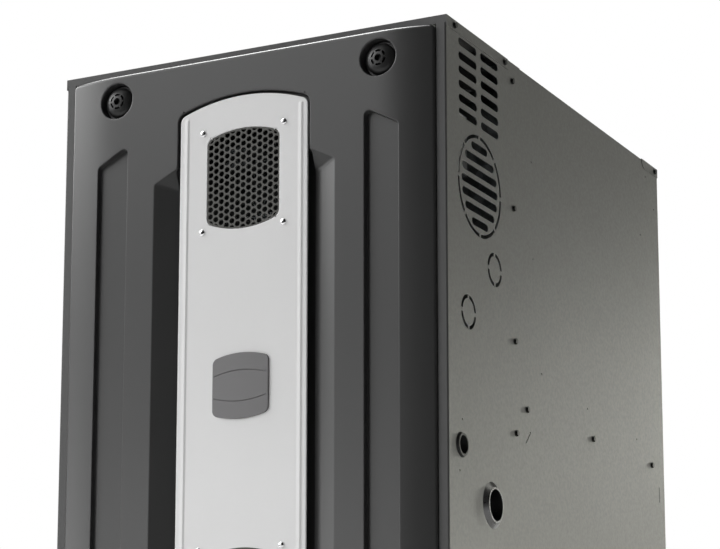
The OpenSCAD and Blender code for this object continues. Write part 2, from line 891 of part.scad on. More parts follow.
// Heat exchanger: tubes, rear header and finned coil
hx_y0 = vest_y + sheet;
hx_back = back_in - hx_back_gap;
hx_front = hx_y0 + hx_front_bend;
header_y = hx_back + header_gap;
module half_bend(y, z, r, side) {
    translate([0, y, z]) rotate([90, 0, 90]) rotate(side * 90 - 180)
        rotate_extrude(angle = 180, $fn = round_n) translate([pass_pitch / 2, 0]) circle(r = r, $fn = fine);
}
module serpentine(r, extra) {
    z1 = burner_z;
    z2 = z1 - pass_pitch;
    z3 = z2 - pass_pitch;
    rod_y(0, [hx_y0 - extra, hx_back], z1, r, fine);
    rod_y(0, [hx_front, hx_back], z2, r, fine);
    rod_y(0, [hx_front, header_y + extra], z3, r, fine);
    half_bend(hx_back, (z1 + z2) / 2, r, 1);
    half_bend(hx_front, (z2 + z3) / 2, r, -1);
}
module heat_exchanger_tubes() {
    color("silver") burner_spots() difference() {
        serpentine(hx_tube_d / 2, 0);
        serpentine(hx_tube_d / 2 - tube_wall, over);
    }
}
module rear_header() {
    z3 = burner_z - 2 * pass_pitch;
    color("silver") difference() {
        block([-header_half, header_half], [header_y, header_y + header_t],
            [header_z0, z3 + hx_tube_d / 2 + side_flange]);
        block([tube_wall - header_half, header_half - tube_wall],
            [header_y + tube_wall, header_y + header_t - tube_wall],
            [header_z0 + tube_wall, z3 + hx_tube_d / 2 + side_flange - tube_wall]);
        burner_spots() rod_y(0, [header_y - over, header_y + tube_wall + over], z3,
            hx_tube_d / 2 - tube_wall, fine);
    }
}
coil_pitch = 2 * (header_half - fin_margin) / coil_cols;
module coil_spots() {
    for (i = [0:coil_cols - 1], j = [0:coil_rows - 1])
        translate([(i - (coil_cols - 1) / 2) * coil_pitch, 0, coil_z0 + j * coil_row_pitch]) children();
}
module secondary_tubes() {
    color("silver") coil_spots() rod_y(0, [hx_y0, header_y], 0, coil_tube_r, 24);
}
fins_n = floor((header_y - hx_y0 - 2 * fin_margin) / fin_pitch);
module fin_outline() {
    x = header_half - fin_margin / 2;
    difference() {
        translate([-x, coil_z0 - coil_row_pitch / 2]) square([2 * x, coil_rows * coil_row_pitch]);
        for (i = [0:coil_cols - 1], j = [0:coil_rows - 1])
            translate([(i - (coil_cols - 1) / 2) * coil_pitch, coil_z0 + j * coil_row_pitch])
                circle(r = coil_tube_r + pin_gap, $fn = 24);
    }
}
module secondary_fins() {
    color("silver") for (i = [0:fins_n])
        translate([0, hx_y0 + fin_margin + i * fin_pitch, 0]) front_plate([0, fin_t]) fin_outline();
}

// Flue side in the vestibule
module cold_header() {
    y0 = vest_y - cold_d;
    color("black") difference() {
        block([-cold_half, cold_half], [y0, vest_y], [cold_z0, cold_z0 + cold_h]);
        block([cold_t - cold_half, cold_half - cold_t], [y0 + cold_t, vest_y + over],
            [cold_z0 + cold_t, cold_z0 + cold_h - cold_t]);
        rod_y(fan_x, [y0 - over, y0 + cold_t + over], fan_z, fan_eye_r, fine);
    }
}
fan_y1 = vest_y - cold_d;
fan_y0 = fan_y1 - fan_d;
module inducer_housing() {
    top = fan_z + fan_scroll_r + over;
    color("black") difference() {
        union() {
            rod_y(fan_x, [fan_y0, fan_y1], fan_z, fan_scroll_r, round_n);
            block([-pipe_x - fan_duct_r / 2 - fan_wall, fan_x], [fan_y0, fan_y1], [fan_z, top]);
            rod_z(-pipe_x, pipe_y, [top, top + fan_duct_r], vent_pipe_d / 2 + collar_t, fine);
            block([-pipe_x - fan_duct_r, fan_x], [fan_y0, fan_y1], [top - fan_wall, top]);
            for (a = [45, 165, 285])
                rod_y(fan_x + (fan_motor_r - fan_post_r) * cos(a), [fan_y0 - fan_post_l, fan_y0],
                    fan_z + (fan_motor_r - fan_post_r) * sin(a), fan_post_r, 24);
        }
        rod_y(fan_x, [fan_y0 + fan_wall, fan_y1 - fan_wall], fan_z, fan_scroll_r - fan_wall, round_n);
        block([-pipe_x - fan_duct_r / 2, fan_x - fan_wall], [fan_y0 + fan_wall, fan_y1 - fan_wall],
            [fan_z, top - fan_wall + over]);
        rod_z(-pipe_x, pipe_y, [top - 2 * fan_wall, top], fan_duct_r / 2, fine);
        rod_z(-pipe_x, pipe_y, [top, top + fan_duct_r + over], vent_pipe_d / 2 + collar_gap, fine);
        rod_y(fan_x, [fan_y1 - fan_wall - over, fan_y1 + over], fan_z, fan_eye_r, fine);
        rod_y(fan_x, [fan_y0 - over, fan_y0 + fan_wall + over], fan_z, fan_shaft_r + fan_wall / 3, fine);
    }
}
module inducer_motor() {
    y1 = fan_y0 - fan_post_l;
    y0 = y1 - fan_motor_l;
    color("black") difference() {
        union() {
            rod_y(fan_x, [y0, y1], fan_z, fan_motor_r, round_n);
            for (i = [0:3]) rod_y(fan_x, [y0 + (i + 1) * fan_motor_l / 5, y0 + (i + 1.4) * fan_motor_l / 5],
                fan_z, fan_motor_r + fan_wall, round_n);
            block([fan_x - fan_motor_r / 3, fan_x + fan_motor_r / 3], [y0 + fan_wall, y1 - fan_wall],
                [fan_z, fan_z + fan_motor_r + 2 * fan_wall]);
        }
        rod_y(fan_x, [y0 + fan_motor_l / 2, y1 + over], fan_z, fan_shaft_r + pin_gap, fine);
    }
}
module vane(r0, r1, z, t, a) {
    rotate(a) translate([r0, 0, z[0]]) rotate(blade_a / 2) cube([r1 - r0, t, z[1] - z[0]]);
}
fan_vanes_n = 12;
module inducer_wheel() {
    y1 = fan_y1 - 2 * fan_wall;
    y0 = y1 - fan_wheel_t;
    motor_end = fan_y0 - fan_post_l - fan_motor_l / 2 + fan_wall;
    color("silver") translate([fan_x, y1, fan_z]) rotate([90, 0, 0]) {
        for (i = [0:fan_vanes_n - 1]) vane(fan_eye_r, fan_r - 4 * fan_wall, [0, fan_wheel_t], fan_wall / 2,
            i * 360 / fan_vanes_n);
        translate([0, 0, fan_wheel_t - fan_wall / 2]) cylinder(h = fan_wall / 2, r = fan_r, $fn = round_n);
        translate([0, 0, fan_wheel_t / 2]) cylinder(h = fan_wheel_t / 2, r = fan_shaft_r * 2, $fn = fine);
        translate([0, 0, fan_wheel_t - fan_wall]) cylinder(h = y1 - motor_end - fan_wheel_t + fan_wall,
            r = fan_shaft_r, $fn = fine);
    }
}
module vent_pipe() {
    z = [fan_z + fan_scroll_r + over, top_in - collar_l + collar_low];
    color("white") difference() {
        rod_z(-pipe_x, pipe_y, z, vent_pipe_d / 2, round_n);
        rod_z(-pipe_x, pipe_y, [z[0] - over, z[1] + over], vent_pipe_d / 2 - collar_t, round_n);
    }
}
// Rubber-sealed pipe collars hung under the top cover
module pipe_collars() {
    r = vent_pipe_d / 2;
    stop_z = top_in - collar_l + collar_low;
    color("black") pair() difference() {
        union() {
            rod_z(pipe_x, pipe_y, [top_in - collar_l, cab_h], r + collar_t, round_n);
            rod_z(pipe_x, pipe_y, [top_in - collar_t, top_in], r + collar_t + collar_flange, round_n);
        }
        rod_z(pipe_x, pipe_y, [top_in - collar_l - over, stop_z], r + collar_gap, round_n);
        rod_z(pipe_x, pipe_y, [stop_z - over, stop_z + collar_t + over], r - collar_t, round_n);
        rod_z(pipe_x, pipe_y, [stop_z + collar_t, cab_h + over], r + collar_gap, round_n);
    }
}

// Burner box, burners and gas train
module burner_box() {
    x = burner_half + box_margin;
    y0 = vest_y - box_d;
    color("gray") difference() {
        block([-x, x], [y0, vest_y], [burner_z - box_half_h, burner_z + box_half_h]);
        block([box_t - x, x - box_t], [y0 + box_t, vest_y + over],
            [burner_z - box_half_h + box_t, burner_z + box_half_h - box_t]);
        burner_spots() rod_y(0, [y0 - over, y0 + box_t + over], burner_z, burner_r + over, fine);
        for (x = [burner_half + burner_r + rod_r, -burner_half - burner_r - rod_r])
            rod_y(x, [y0 - over, y0 + box_t + over], burner_z + burner_r, 2 * rod_r, 24);
    }
}
module burners() {
    y1 = vest_y - burner_gap;
    y0 = y1 - burner_l;
    color("silver") {
        burner_spots() difference() {
            union() {
                rod_y(0, [y0, y1], burner_z, burner_r, fine);
                rod_y(0, [y1 - over, y1], burner_z, burner_r + over, fine);
            }
            rod_y(0, [y0 - over, y1 + over], burner_z, burner_r - box_t, fine);
        }
        block([-burner_half - box_margin + box_t, burner_half + box_margin - box_t],
            [y0 + burner_l / 2, y0 + burner_l / 2 + box_t],
            [burner_z - box_half_h + box_t, burner_z - burner_r + box_t / 2]);
    }
}
module gas_manifold() {
    x0 = -burner_half - 2 * manifold_r;
    x1 = valve_x;
    z0 = burner_z - valve_drop;
    tip = vest_y - burner_gap - burner_l - 4 * box_t;
    color("silver") difference() {
        union() {
            rod_x([x0, x1], manifold_y, burner_z, manifold_r, fine);
            translate([x1, manifold_y, burner_z]) sphere(r = manifold_r, $fn = fine);
            rod_z(x1, manifold_y, [z0, burner_z], manifold_r, fine);
            burner_spots() rod_y(0, [manifold_y, tip], burner_z, spud_r, fine);
            pair() block([burner_pitch - spud_r, burner_pitch + spud_r], [manifold_y, vest_y - box_d],
                [burner_z - 2 * sheet, burner_z + 2 * sheet]);
        }
        burner_spots() rod_y(0, [manifold_y + manifold_r, tip + over], burner_z, orifice_r, 16);
    }
}
valve_z1 = burner_z - valve_drop;
valve_z0 = valve_z1 - valve_h;
valve_y0 = manifold_y - valve_d / 2;
module gas_valve() {
    color("silver") difference() {
        union() {
            block([valve_x - valve_w / 2, valve_x + valve_w / 2], [valve_y0, valve_y0 + valve_d],
                [valve_z0 + side_flange, valve_z1]);
            rod_z(valve_x, manifold_y, [valve_z0, valve_z0 + side_flange], valve_port_boss, 6);
            rod_y(valve_x, [valve_y0 - coil_cap_h / 2, valve_y0], valve_z0 + valve_h * 0.4, coil_cap_r, fine);
            rod_x([valve_x - valve_w / 2 - coil_cap_h / 2, valve_x - valve_w / 2], manifold_y,
                valve_z0 + valve_h * 0.4, coil_cap_r / 2, fine);
        }
        rod_z(valve_x, manifold_y, [valve_z0 - over, valve_z0 + valve_port_l], valve_port_r, fine);
        block([valve_x - toggle_w / 2 - pin_gap - toggle_run, valve_x + toggle_w / 2 + pin_gap],
            [valve_y0 - over, valve_y0 + toggle_t / 2],
            [valve_z1 - 2 * toggle_h - pin_gap, valve_z1 - toggle_h + pin_gap]);
    }
}
module gas_valve_switch() {
    color("white") block([valve_x - toggle_w / 2, valve_x + toggle_w / 2],
        [valve_y0 - toggle_t / 2, valve_y0 + toggle_t / 2 - pin_gap],
        [valve_z1 - 2 * toggle_h, valve_z1 - toggle_h]);
}
module sensor_body(x, w, reach_in) {
    y0 = vest_y - box_d;
    z = burner_z + burner_r;
    block([x - w / 2, x + w / 2], [y0 - igniter_t, y0], [z - igniter_h / 2, z + igniter_h / 2]);
    rod_y(x, [y0, y0 + reach_in], z, rod_r, 24);
}
module igniter() {
    color("white") sensor_body(burner_half + burner_r + rod_r, igniter_w, box_d - 2 * burner_gap);
}
module flame_sensor() {
    color("silver") sensor_body(-burner_half - burner_r - rod_r, igniter_w / 2, box_d - burner_gap);
}
rollout_z = burner_z + box_half_h - rollout_r - box_t;
rollout_y = vest_y - box_d;
module rollout_switches() {
    color("black") pair() difference() {
        rod_y(burner_half / 3, [rollout_y - rollout_t, rollout_y], rollout_z, rollout_r, fine);
        rod_y(burner_half / 3, [rollout_y - rollout_t - over, rollout_y - rollout_t + button_in], rollout_z,
            button_r + pin_gap, fine);
    }
}
module rollout_button(x) {
    color("red") rod_y(x, [rollout_y - rollout_t - button_h, rollout_y - rollout_t + button_in - button_h / 2],
        rollout_z, button_r, fine);
}
module rollout_button_left() {
    rollout_button(-burner_half / 3);
}
module rollout_button_right() {
    rollout_button(burner_half / 3);
}
limit_x = 150;
module limit_switch() {
    z = (cold_z0 + cold_h + burner_z - box_half_h) / 2;
    color("black") {
        rod_y(limit_x, [vest_y - limit_t, vest_y], z, limit_r, fine);
        block([limit_x - limit_r * 1.6, limit_x + limit_r * 1.6], [vest_y - sheet, vest_y],
            [z - limit_r, z + limit_r]);
        rod_y(limit_x, [vest_y - limit_t - side_flange / 2, vest_y - limit_t], z, limit_r / 3, 24);
    }
}

// Condensate trap and its drain
drain_z = cab_h - drain_drop;
trap_z1 = deck_z - trap_drop;
trap_z0 = trap_z1 - trap_h;
trap_y = front_y + drain_y;
module condensate_trap() {
    color("black") {
        block([trap_x - trap_w / 2, trap_x + trap_w / 2], [trap_y - trap_d / 2, trap_y + trap_d / 2],
            [trap_z0, trap_z1]);
        block([trap_x + trap_w / 2, wall_in], [trap_y - sheet, trap_y + sheet],
            [trap_z1 - trap_h / 3, trap_z1]);
        rod_z(trap_x, trap_y, [trap_z1, trap_z1 + side_flange], hose_r - hose_wall, fine);
    }
}
module drain_hose() {
    hose_y = vest_y - cold_d / 2;
    color("dimgray") {
        difference() {
            union() {
                rod_z(trap_x, trap_y, [trap_z1, trap_z1 + trap_drop / 2], hose_r, fine);
                rod_y(trap_x, [trap_y, hose_y], trap_z1 + trap_drop / 2, hose_r, fine);
                translate([trap_x, trap_y, trap_z1 + trap_drop / 2]) sphere(r = hose_r, $fn = fine);
                translate([trap_x, hose_y, trap_z1 + trap_drop / 2]) sphere(r = hose_r, $fn = fine);
                rod_z(trap_x, hose_y, [trap_z1 + trap_drop / 2, deck_z + hose_r / 2], hose_r, fine);
            }
            rod_z(trap_x, trap_y, [trap_z1 - over, trap_z1 + side_flange], hose_r - hose_wall, fine);
        }
        rod_z(trap_x, trap_y, [drain_z, trap_z0], drain_pipe_r, fine);
        translate([trap_x, trap_y, drain_z]) sphere(r = drain_pipe_r, $fn = fine);
        rod_x([trap_x, wall_in - bush_in - drain_stop], trap_y, drain_z, drain_pipe_r, fine);
    }
}
module pressure_switch() {
    y1 = vest_y - press_gap;
    color("black") {
        rod_y(press_x, [y1 - press_t, y1], press_z, press_r, round_n);
        rod_y(press_x, [y1 - press_t * 0.6, y1 - press_t * 0.4], press_z, press_r + box_t, round_n);
        block([press_x - press_r / 2, press_x + press_r / 2], [y1, vest_y],
            [press_z - press_r / 3, press_z + press_r / 3]);
        rod_z(press_x, y1 - press_t / 4, [press_z - press_r - side_flange / 2, press_z - press_r / 2],
            tube_r - box_t / 2, 24);
    }
}
module pressure_tubes() {
    y = vest_y - press_gap - press_t / 4;
    z1 = press_z - press_r - side_flange / 2;
    color("darkred") {
        rod_z(press_x, y, [cold_z0 + cold_h, z1], tube_r, 24);
    }
}

// Controls
board_y1 = vest_y - board_stand;
board_z0 = plate_z0 + board_low;
module control_board() {
    y0 = board_y1 - board_t;
    color("darkgreen") {
        block([board_x0, board_x1], [y0, board_y1], [board_z0, board_z0 + board_h]);
        for (x = [board_x0 + stand_r * 2, board_x1 - stand_r * 2],
            z = [board_z0 + stand_r * 2, board_z0 + board_h - stand_r * 2])
            rod_y(x, [board_y1, vest_y], z, stand_r, 24);
        for (i = [0:4]) block([board_x0 + relay_w * (1.2 + 1.5 * i), board_x0 + relay_w * (2.2 + 1.5 * i)],
            [y0 - relay_t, y0], [board_z0 + board_h - 2 * relay_h, board_z0 + board_h - relay_h]);
        for (i = [0:2])
            rod_y(board_x0 + relay_w * (9 + i * 0.7), [y0 - relay_t, y0], board_z0 + board_h / 2,
                relay_w / 4, 24);
        block([board_x0 + relay_w * 1.2, board_x1 - relay_w * 1.2], [y0 - relay_t / 2, y0],
            [board_z0 + relay_h / 2, board_z0 + relay_h]);
        block([board_x0 + relay_w, board_x0 + relay_w * 3], [y0 - relay_t / 3, y0],
            [board_z0 + board_h / 2 - relay_h / 2, board_z0 + board_h / 2 + relay_h / 4]);
    }
}
module transformer() {
    z0 = board_z0;
    color("black") {
        block([trafo_x, trafo_x + trafo_w], [vest_y - trafo_t * 0.75, vest_y - trafo_t * 0.15],
            [z0, z0 + trafo_h]);
        block([trafo_x + trafo_w * 0.2, trafo_x + trafo_w * 0.8], [vest_y - trafo_t, vest_y],
            [z0 + trafo_h * 0.18, z0 + trafo_h * 0.82]);
    }
}
switch_z1 = deck_z - sheet;
switch_y0 = front_y + switch_front;
module door_switch() {
    z = switch_z1 - switch_h / 2;
    color("black") difference() {
        block([switch_x - switch_w / 2, switch_x + switch_w / 2], [switch_y0, switch_y0 + switch_d],
            [switch_z1 - switch_h, switch_z1]);
        rod_y(switch_x, [switch_y0 - over, switch_y0 + plunger_in + over], z, plunger_r + pin_gap, fine);
    }
}
module door_switch_plunger() {
    color("white") rod_y(switch_x, [liner_y + liner_t + gasket_gap, switch_y0 + plunger_in],
        switch_z1 - switch_h / 2, plunger_r, fine);
}
module junction_box() {
    x1 = wall_in;
    x0 = x1 - box_w;
    y0 = bay_y + sheet;
    z = cab_h - conduit_drop;
    color("gray") difference() {
        block([x0, x1], [y0, y0 + box_depth], [z - box_h / 2, z + box_h / 2]);
        block([x0 + sheet, x1 + over], [y0 + sheet, y0 + box_depth - sheet],
            [z - box_h / 2 + sheet, z + box_h / 2 - sheet]);
    }
}

// Blower: scroll housing, wheel, motor and bracket
function scroll_r(s, inset) = scroll_r0 + (scroll_r1 - scroll_r0) * s - inset;
function scroll_outline(inset, top) = concat(
    [for (i = [0:scroll_steps])
        let (a = scroll_start_a + (360 - scroll_start_a) * i / scroll_steps)
        scroll_r(i / scroll_steps, inset) * [cos(a), sin(a)]],
    [[scroll_r1 - inset, top], [scroll_r0 * cos(scroll_start_a) + inset, top]]);
module blower_housing() {
    top = deck_z - sheet - scroll_z;
    x = scroll_w / 2;
    color("silver") difference() {
        union() {
            translate([0, scroll_y, scroll_z]) side_plate([-x, x]) polygon(scroll_outline(0, top));
            pair() block([x, x + side_flange], [duct_y0(), duct_y1()], [deck_z - 2 * sheet, deck_z - sheet]);
            pair() translate([0, scroll_y, scroll_z]) rod_x([x, x + sheet], 0, 0, inlet_r + inlet_lip, round_n);
        }
        translate([0, scroll_y, scroll_z])
            side_plate([sheet - x, x - sheet]) polygon(scroll_outline(sheet, top + over));
        rod_x([-x - over, x + over], scroll_y, scroll_z, inlet_r, round_n);
    }
}
module blower_blade(x) {
    translate([0, 0, x[0]]) rotate(-blade_a) cube([blade_d, blade_t, x[1] - x[0]]);
}
module blower_wheel() {
    r = wheel_d / 2;
    half = wheel_w / 2;
    blade_r = r - blade_d * cos(blade_a) - 3 * blade_t;
    color("silver") translate([0, scroll_y, scroll_z]) rotate([90, 0, 90]) {
        for (i = [0:blades_n - 1]) rotate(i * 360 / blades_n) translate([blade_r, 0, 0])
            blower_blade([ring_w / 2 - half, half - ring_w / 2]);
        for (z = [-half, half - ring_w]) translate([0, 0, z]) difference() {
            cylinder(h = ring_w, r = r, $fn = round_n);
            translate([0, 0, -over]) cylinder(h = ring_w + 2 * over, r = blade_r - blade_t, $fn = round_n);
        }
        translate([0, 0, -disc_t / 2])
            cylinder(h = disc_t, r = blade_r + blade_d * cos(blade_a) / 2, $fn = round_n);
        translate([0, 0, -hub_l]) cylinder(h = hub_l, r = hub_r, $fn = fine);
        cylinder(h = motor_gap + motor_l / 2, r = shaft_r, $fn = fine);
    }
}
motor_x0 = motor_gap;
motor_x1 = motor_gap + motor_l;
module blower_motor() {
    color("black") difference() {
        union() {
            rod_x([motor_x0 + over, motor_x1 - over], scroll_y, scroll_z, motor_r, round_n);
            rod_x([motor_x0, motor_x1], scroll_y, scroll_z, motor_r - over, round_n);
            rod_x([motor_x1, motor_x1 + motor_gap], scroll_y, scroll_z, motor_r * 0.7, round_n);
        }
        rod_x([motor_x0 - over, motor_x0 + motor_l / 2], scroll_y, scroll_z, shaft_r + pin_gap, fine);
    }
}
module motor_bracket() {
    x = scroll_w / 2 + sheet;
    band_x = x - band_w - 2 * sheet;
    out_r = inlet_r + inlet_lip / 2;
    color("gray") {
        difference() {
            rod_x([band_x, band_x + band_w], scroll_y, scroll_z, motor_r + band_t, round_n);
            rod_x([band_x - over, band_x + band_w + over], scroll_y, scroll_z, motor_r, round_n);
        }
        translate([0, scroll_y, scroll_z]) for (i = [0:arms_n - 1]) rotate([i * 360 / arms_n, 0, 0]) {
            rod_z(band_x + band_w - arm_r, 0, [motor_r + band_t / 2, motor_r + band_t + arm_r * 2], arm_r, 24);
            block([band_x + band_w - 2 * arm_r, x + 2 * sheet], [-arm_r, arm_r],
                [motor_r + band_t + arm_r, motor_r + band_t + arm_r + 2 * sheet]);
            block([x, x + 2 * sheet], [-arm_r, arm_r], [motor_r + band_t + arm_r, out_r]);
        }
    }
}

// Wiring harness from the control board to the burner box
module wiring_harness() {
    y = vest_y - wire_in;
    z0 = board_z0 + board_h / 2;
    z1 = burner_z - box_half_h / 2;
    color("darkred") {
        rod_x([-pipe_x, board_x0], y, z0, wire_r, 24);
        rod_z(-pipe_x, y, [z0, z1], wire_r, 24);
        rod_x([-pipe_x, -burner_half - box_margin], y, z1, wire_r, 24);
        for (z = [z0, z1]) translate([-pipe_x, y, z]) sphere(r = wire_r, $fn = 24);
    }
}

// Door shell with rolled sides, pockets, cups and recess
module door_plan(t) {
    y0 = face_y + t;
    intersection() {
        translate([t - door_half, y0]) square([2 * (door_half - t), liner_y + liner_t - y0 + t]);
        union() {
            translate([-flat_half, y0]) square([2 * flat_half, liner_y + liner_t - y0 + t]);
            for (s = [-1, 1]) intersection() {
                translate([s * flat_half, face_y + roll_r]) circle(r = roll_r - t, $fn = 4 * round_n);
                translate([s > 0 ? flat_half : -door_half, y0]) square([roll_w, liner_y + liner_t - y0 + t]);
            }
        }
    }
}
module door_body(t) {
    r = edge_r - t;
    y0 = face_y + t;
    y1 = liner_y + liner_t + t;
    intersection() {
        translate([0, 0, door_z0 + t]) linear_extrude(height = 2 * door_half_h - 2 * t) door_plan(t);
        side_plate([-door_half, door_half]) union() {
            translate([y0 + r, door_z0 + t]) square([y1 - y0 - r, 2 * door_half_h - 2 * t]);
            translate([y0, door_z0 + t + r]) square([2 * r, 2 * (door_half_h - t - r)]);
            for (z = [door_z0 + t + r, door_z1 - t - r]) translate([y0 + r, z]) circle(r = r, $fn = fine);
        }
    }
}
function pocket_points(g) =
    let (z = door_half_h - pocket_drop + g, low = z - pocket_slant)
    [[pocket_in - g, z, pocket_r], [pocket_out + g, low, pocket_r],
     [pocket_out + g, -low, pocket_r], [pocket_in - g, -z, pocket_r]];
module slab_at(y, t, points) {
    front_plate([y, y + t]) polygon(points);
}
thin = 0.01;
module pocket(g, depth) {
    about_door() hull() {
        slab_at(face_y - over, thin, rounded(pocket_points(g)));
        slab_at(face_y + depth, thin, rounded(pocket_points(g - draft)));
    }
}
function recess_points(g, s) =
    let (x = recess_half + g - s * recess_run, z = door_half_h - recess_drop + g - s * recess_fall)
    let (xi = min(recess_in, x - over))
    [[xi, z + recess_slant], [x, z], [x, -z], [xi, -z - recess_slant],
     [-xi, -z - recess_slant], [-x, -z], [-x, z], [-xi, z + recess_slant]];
module recess(g, depth) {
    about_door() hull() {
        slab_at(face_y, thin, recess_points(g, 0));
        slab_at(face_y + depth, thin, recess_points(g, 1));
    }
}
module panel_seat(g, depth) {
    about_door() slab_at(face_y - (g > 0 ? 0 : over), depth + (g > 0 ? 0 : over), panel_outline(seam + g));
}
module cup(g, depth) {
    pair() rod_y(knob_x, [face_y - (g > 0 ? 0 : over), face_y + depth], knob_z, cup_d / 2 + g, round_n);
}
boss_mid_in = 16;
boss_side_in = 25.2;
boss_xs = [recess_half - boss_mid_in, door_half - boss_side_in];
boss_shares = [0, 0.6, 0.93];
module door_bosses() {
    for (s = [-1, 1], x = boss_xs, k = boss_shares)
        if (k > 0.9 || x > recess_half) top_and_bottom()
            rod_y(s * x, [face_y + shell_t / 2, liner_y], k * door_half_h, boss_r, 24);
}
module door_shell() {
    window_x = recess_half - recess_run;
    window_z = door_half_h - recess_drop - recess_fall - window_edge;
    color("dimgray") difference() {
        union() {
            difference() {
                door_body(0);
                door_body(shell_t);
            }
            intersection() {
                door_body(0);
                union() {
                    pair() pocket(shell_t, pocket_d + shell_t);
                    recess(shell_t, recess_d + shell_t);
                    panel_seat(shell_t, seat_d + shell_t);
                    cup(cup_wall, cup_depth + cup_wall);
                }
            }
            intersection() {
                door_body(0);
                door_bosses();
            }
        }
        pair() pocket(0, pocket_d);
        recess(0, recess_d);
        panel_seat(0, seat_d);
        cup(0, cup_depth);
        pair() {
            rod_y(knob_x, [face_y, liner_y], knob_z, stud_r + pin_gap, fine);
            block([tongue_x - tongue_w / 2 - nest, tongue_x + tongue_w / 2 + nest],
                [liner_y - nest, liner_y + liner_t + nest], [door_z0 - over, door_z0 + shell_t + nest]);
        }
        about_door() {
            block([-window_x, window_x], [face_y, liner_y - nest], [-window_z, window_z]);
            for (m = [0, 1]) mirror([0, 0, m])
                block([-window_half, window_half], [face_y, liner_y - nest], [0, window_top - window_r]);
        }
    }
    color("dimgray") top_and_bottom() pair()
        rod_y(panel_screw_x, [face_y + panel_sunk + panel_t + mesh_t, face_y + seat_d + shell_t],
            panel_screw_zs[0], boss_r, 24);
}

// Door liner: the steel sheet that closes the shell's back
module door_liner() {
    x = door_half - shell_t - nest;
    z = door_half_h - shell_t - nest;
    mesh_back = face_y + panel_sunk + panel_t + mesh_t;
    color("gray") difference() {
        union() {
            about_door() block([-x, x], [liner_y, liner_y + liner_t], [-z, z]);
            pair() block([tongue_x - tongue_w / 2, tongue_x + tongue_w / 2], [liner_y, liner_y + liner_t],
                [door_z0 - tongue_l, door_z0 + shell_t + ledge_w]);
            top_and_bottom() pair() rod_y(panel_screw_x, [mesh_back, liner_y], panel_screw_zs[1], boss_r, 24);
        }
        pair() rod_y(knob_x, [liner_y - over, liner_y + liner_t + over], knob_z, stud_r + slot_gap, fine);
        about_door() for (i = [0:liner_slots - 1])
            translate([0, 0, window_bottom + window_bottom_rise + (i + 0.5) * liner_slot_pitch])
            front_plate([liner_y - over, liner_y + liner_t + over])
                slot2d(1.6 * window_half, liner_slot_h);
    }
}
module door_gasket() {
    y = [liner_y + liner_t, liner_y + liner_t + gasket_t - liner_t];
    x = gasket_out;
    z = gasket_out_h;
    color("black") about_door() difference() {
        block([-x, x], y, [-z, z]);
        block([gasket_w - x, x - gasket_w], [y[0] - over, y[1] + over], [gasket_w - z, z - gasket_w]);
    }
}

module centre_panel() {
    y = face_y + panel_sunk;
    bead_z = panel_top - panel_rise - bead_end + panel_rise;
    color("lightgray") about_door() difference() {
        union() {
            slab_at(y, panel_t, panel_outline(0));
            for (s = [-1, 1]) intersection() {
                union() {
                    rod_z(s * (panel_half - bead_in), y + bead_r - bead_h, [-bead_z, bead_z], bead_r, fine);
                    for (e = [-1, 1]) translate([s * (panel_half - bead_in), y + bead_r - bead_h, e * bead_z])
                        sphere(r = bead_r, $fn = fine);
                }
                block([-panel_half, panel_half], [y - 2 * bead_h, y + panel_t / 2], [-panel_top, panel_top]);
            }
        }
        for (m = [0, 1]) mirror([0, 0, m]) {
            slab_at(y - over, panel_t + 2 * over, window_outline(0));
            for (s = [-1, 1], z = panel_screw_zs)
                rod_y(s * panel_screw_x, [y - over, y + panel_t + over], z, screw_hole_r(), 24);
        }
    }
}

// Perforated grilles that fill the panel's two windows
mesh_col = mesh_pitch * sqrt(3) / 2;
mesh_cols = ceil(window_half / mesh_col);
mesh_rows = ceil((window_top - window_bottom) / mesh_pitch / 2) + 1;
window_mid = (window_top + window_bottom) / 2;
module mesh_holes() {
    intersection() {
        polygon(window_outline(-rim_w));
        for (i = [-mesh_cols:mesh_cols], j = [-mesh_rows:mesh_rows])
            translate([i * mesh_col, window_mid + (j + (abs(i) % 2) / 2) * mesh_pitch])
                circle(d = mesh_hole_d, $fn = 16);
    }
}
module panel_grilles() {
    y0 = face_y + panel_sunk + mesh_sunk;
    y1 = face_y + panel_sunk + panel_t;
    x = panel_screw_x + mesh_margin / 2;
    color("darkslategray") about_door() for (m = [0, 1]) mirror([0, 0, m]) difference() {
        union() {
            slab_at(y0, y1 - y0, window_outline(-nest));
            block([-x, x], [y1, y1 + mesh_t],
                [panel_screw_zs[1] - mesh_margin / 2, panel_screw_zs[0] + mesh_margin / 2]);
        }
        front_plate([y0 - over, y1 + mesh_t + over]) mesh_holes();
        for (s = [-1, 1], z = panel_screw_zs)
            rod_y(s * panel_screw_x, [y1 - over, y1 + mesh_t + over], z, screw_hole_r(), 24);
    }
}
module badge_plate() {
    y1 = face_y + panel_sunk;
    y0 = y1 - badge_t;
    color("gray") about_door() difference() {
        slab_at(y0, badge_t, badge_outline());
        for (m = [0, 1]) mirror([0, 0, m])
            slab_at(y0 - over, over + groove_d,
                arc_band(badge_half_w - over, groove_drop, badge_rise, groove_w));
    }
}
module panel_screws() {
    y = face_y + panel_sunk;
    color("white") top_and_bottom() pair() for (z = panel_screw_zs) {
        translate([panel_screw_x, y, z]) rotate([90, 0, 0]) rotate_extrude($fn = fine)
            polygon([[0, 0], [pan_r, 0], [pan_r, pan_h * 0.35], [pan_r * 0.8, pan_h * 0.8],
                [pan_r * 0.45, pan_h], [0, pan_h]]);
        rod_y(panel_screw_x, [y, y + panel_t + mesh_t], z, screw_r, 24);
    }
}

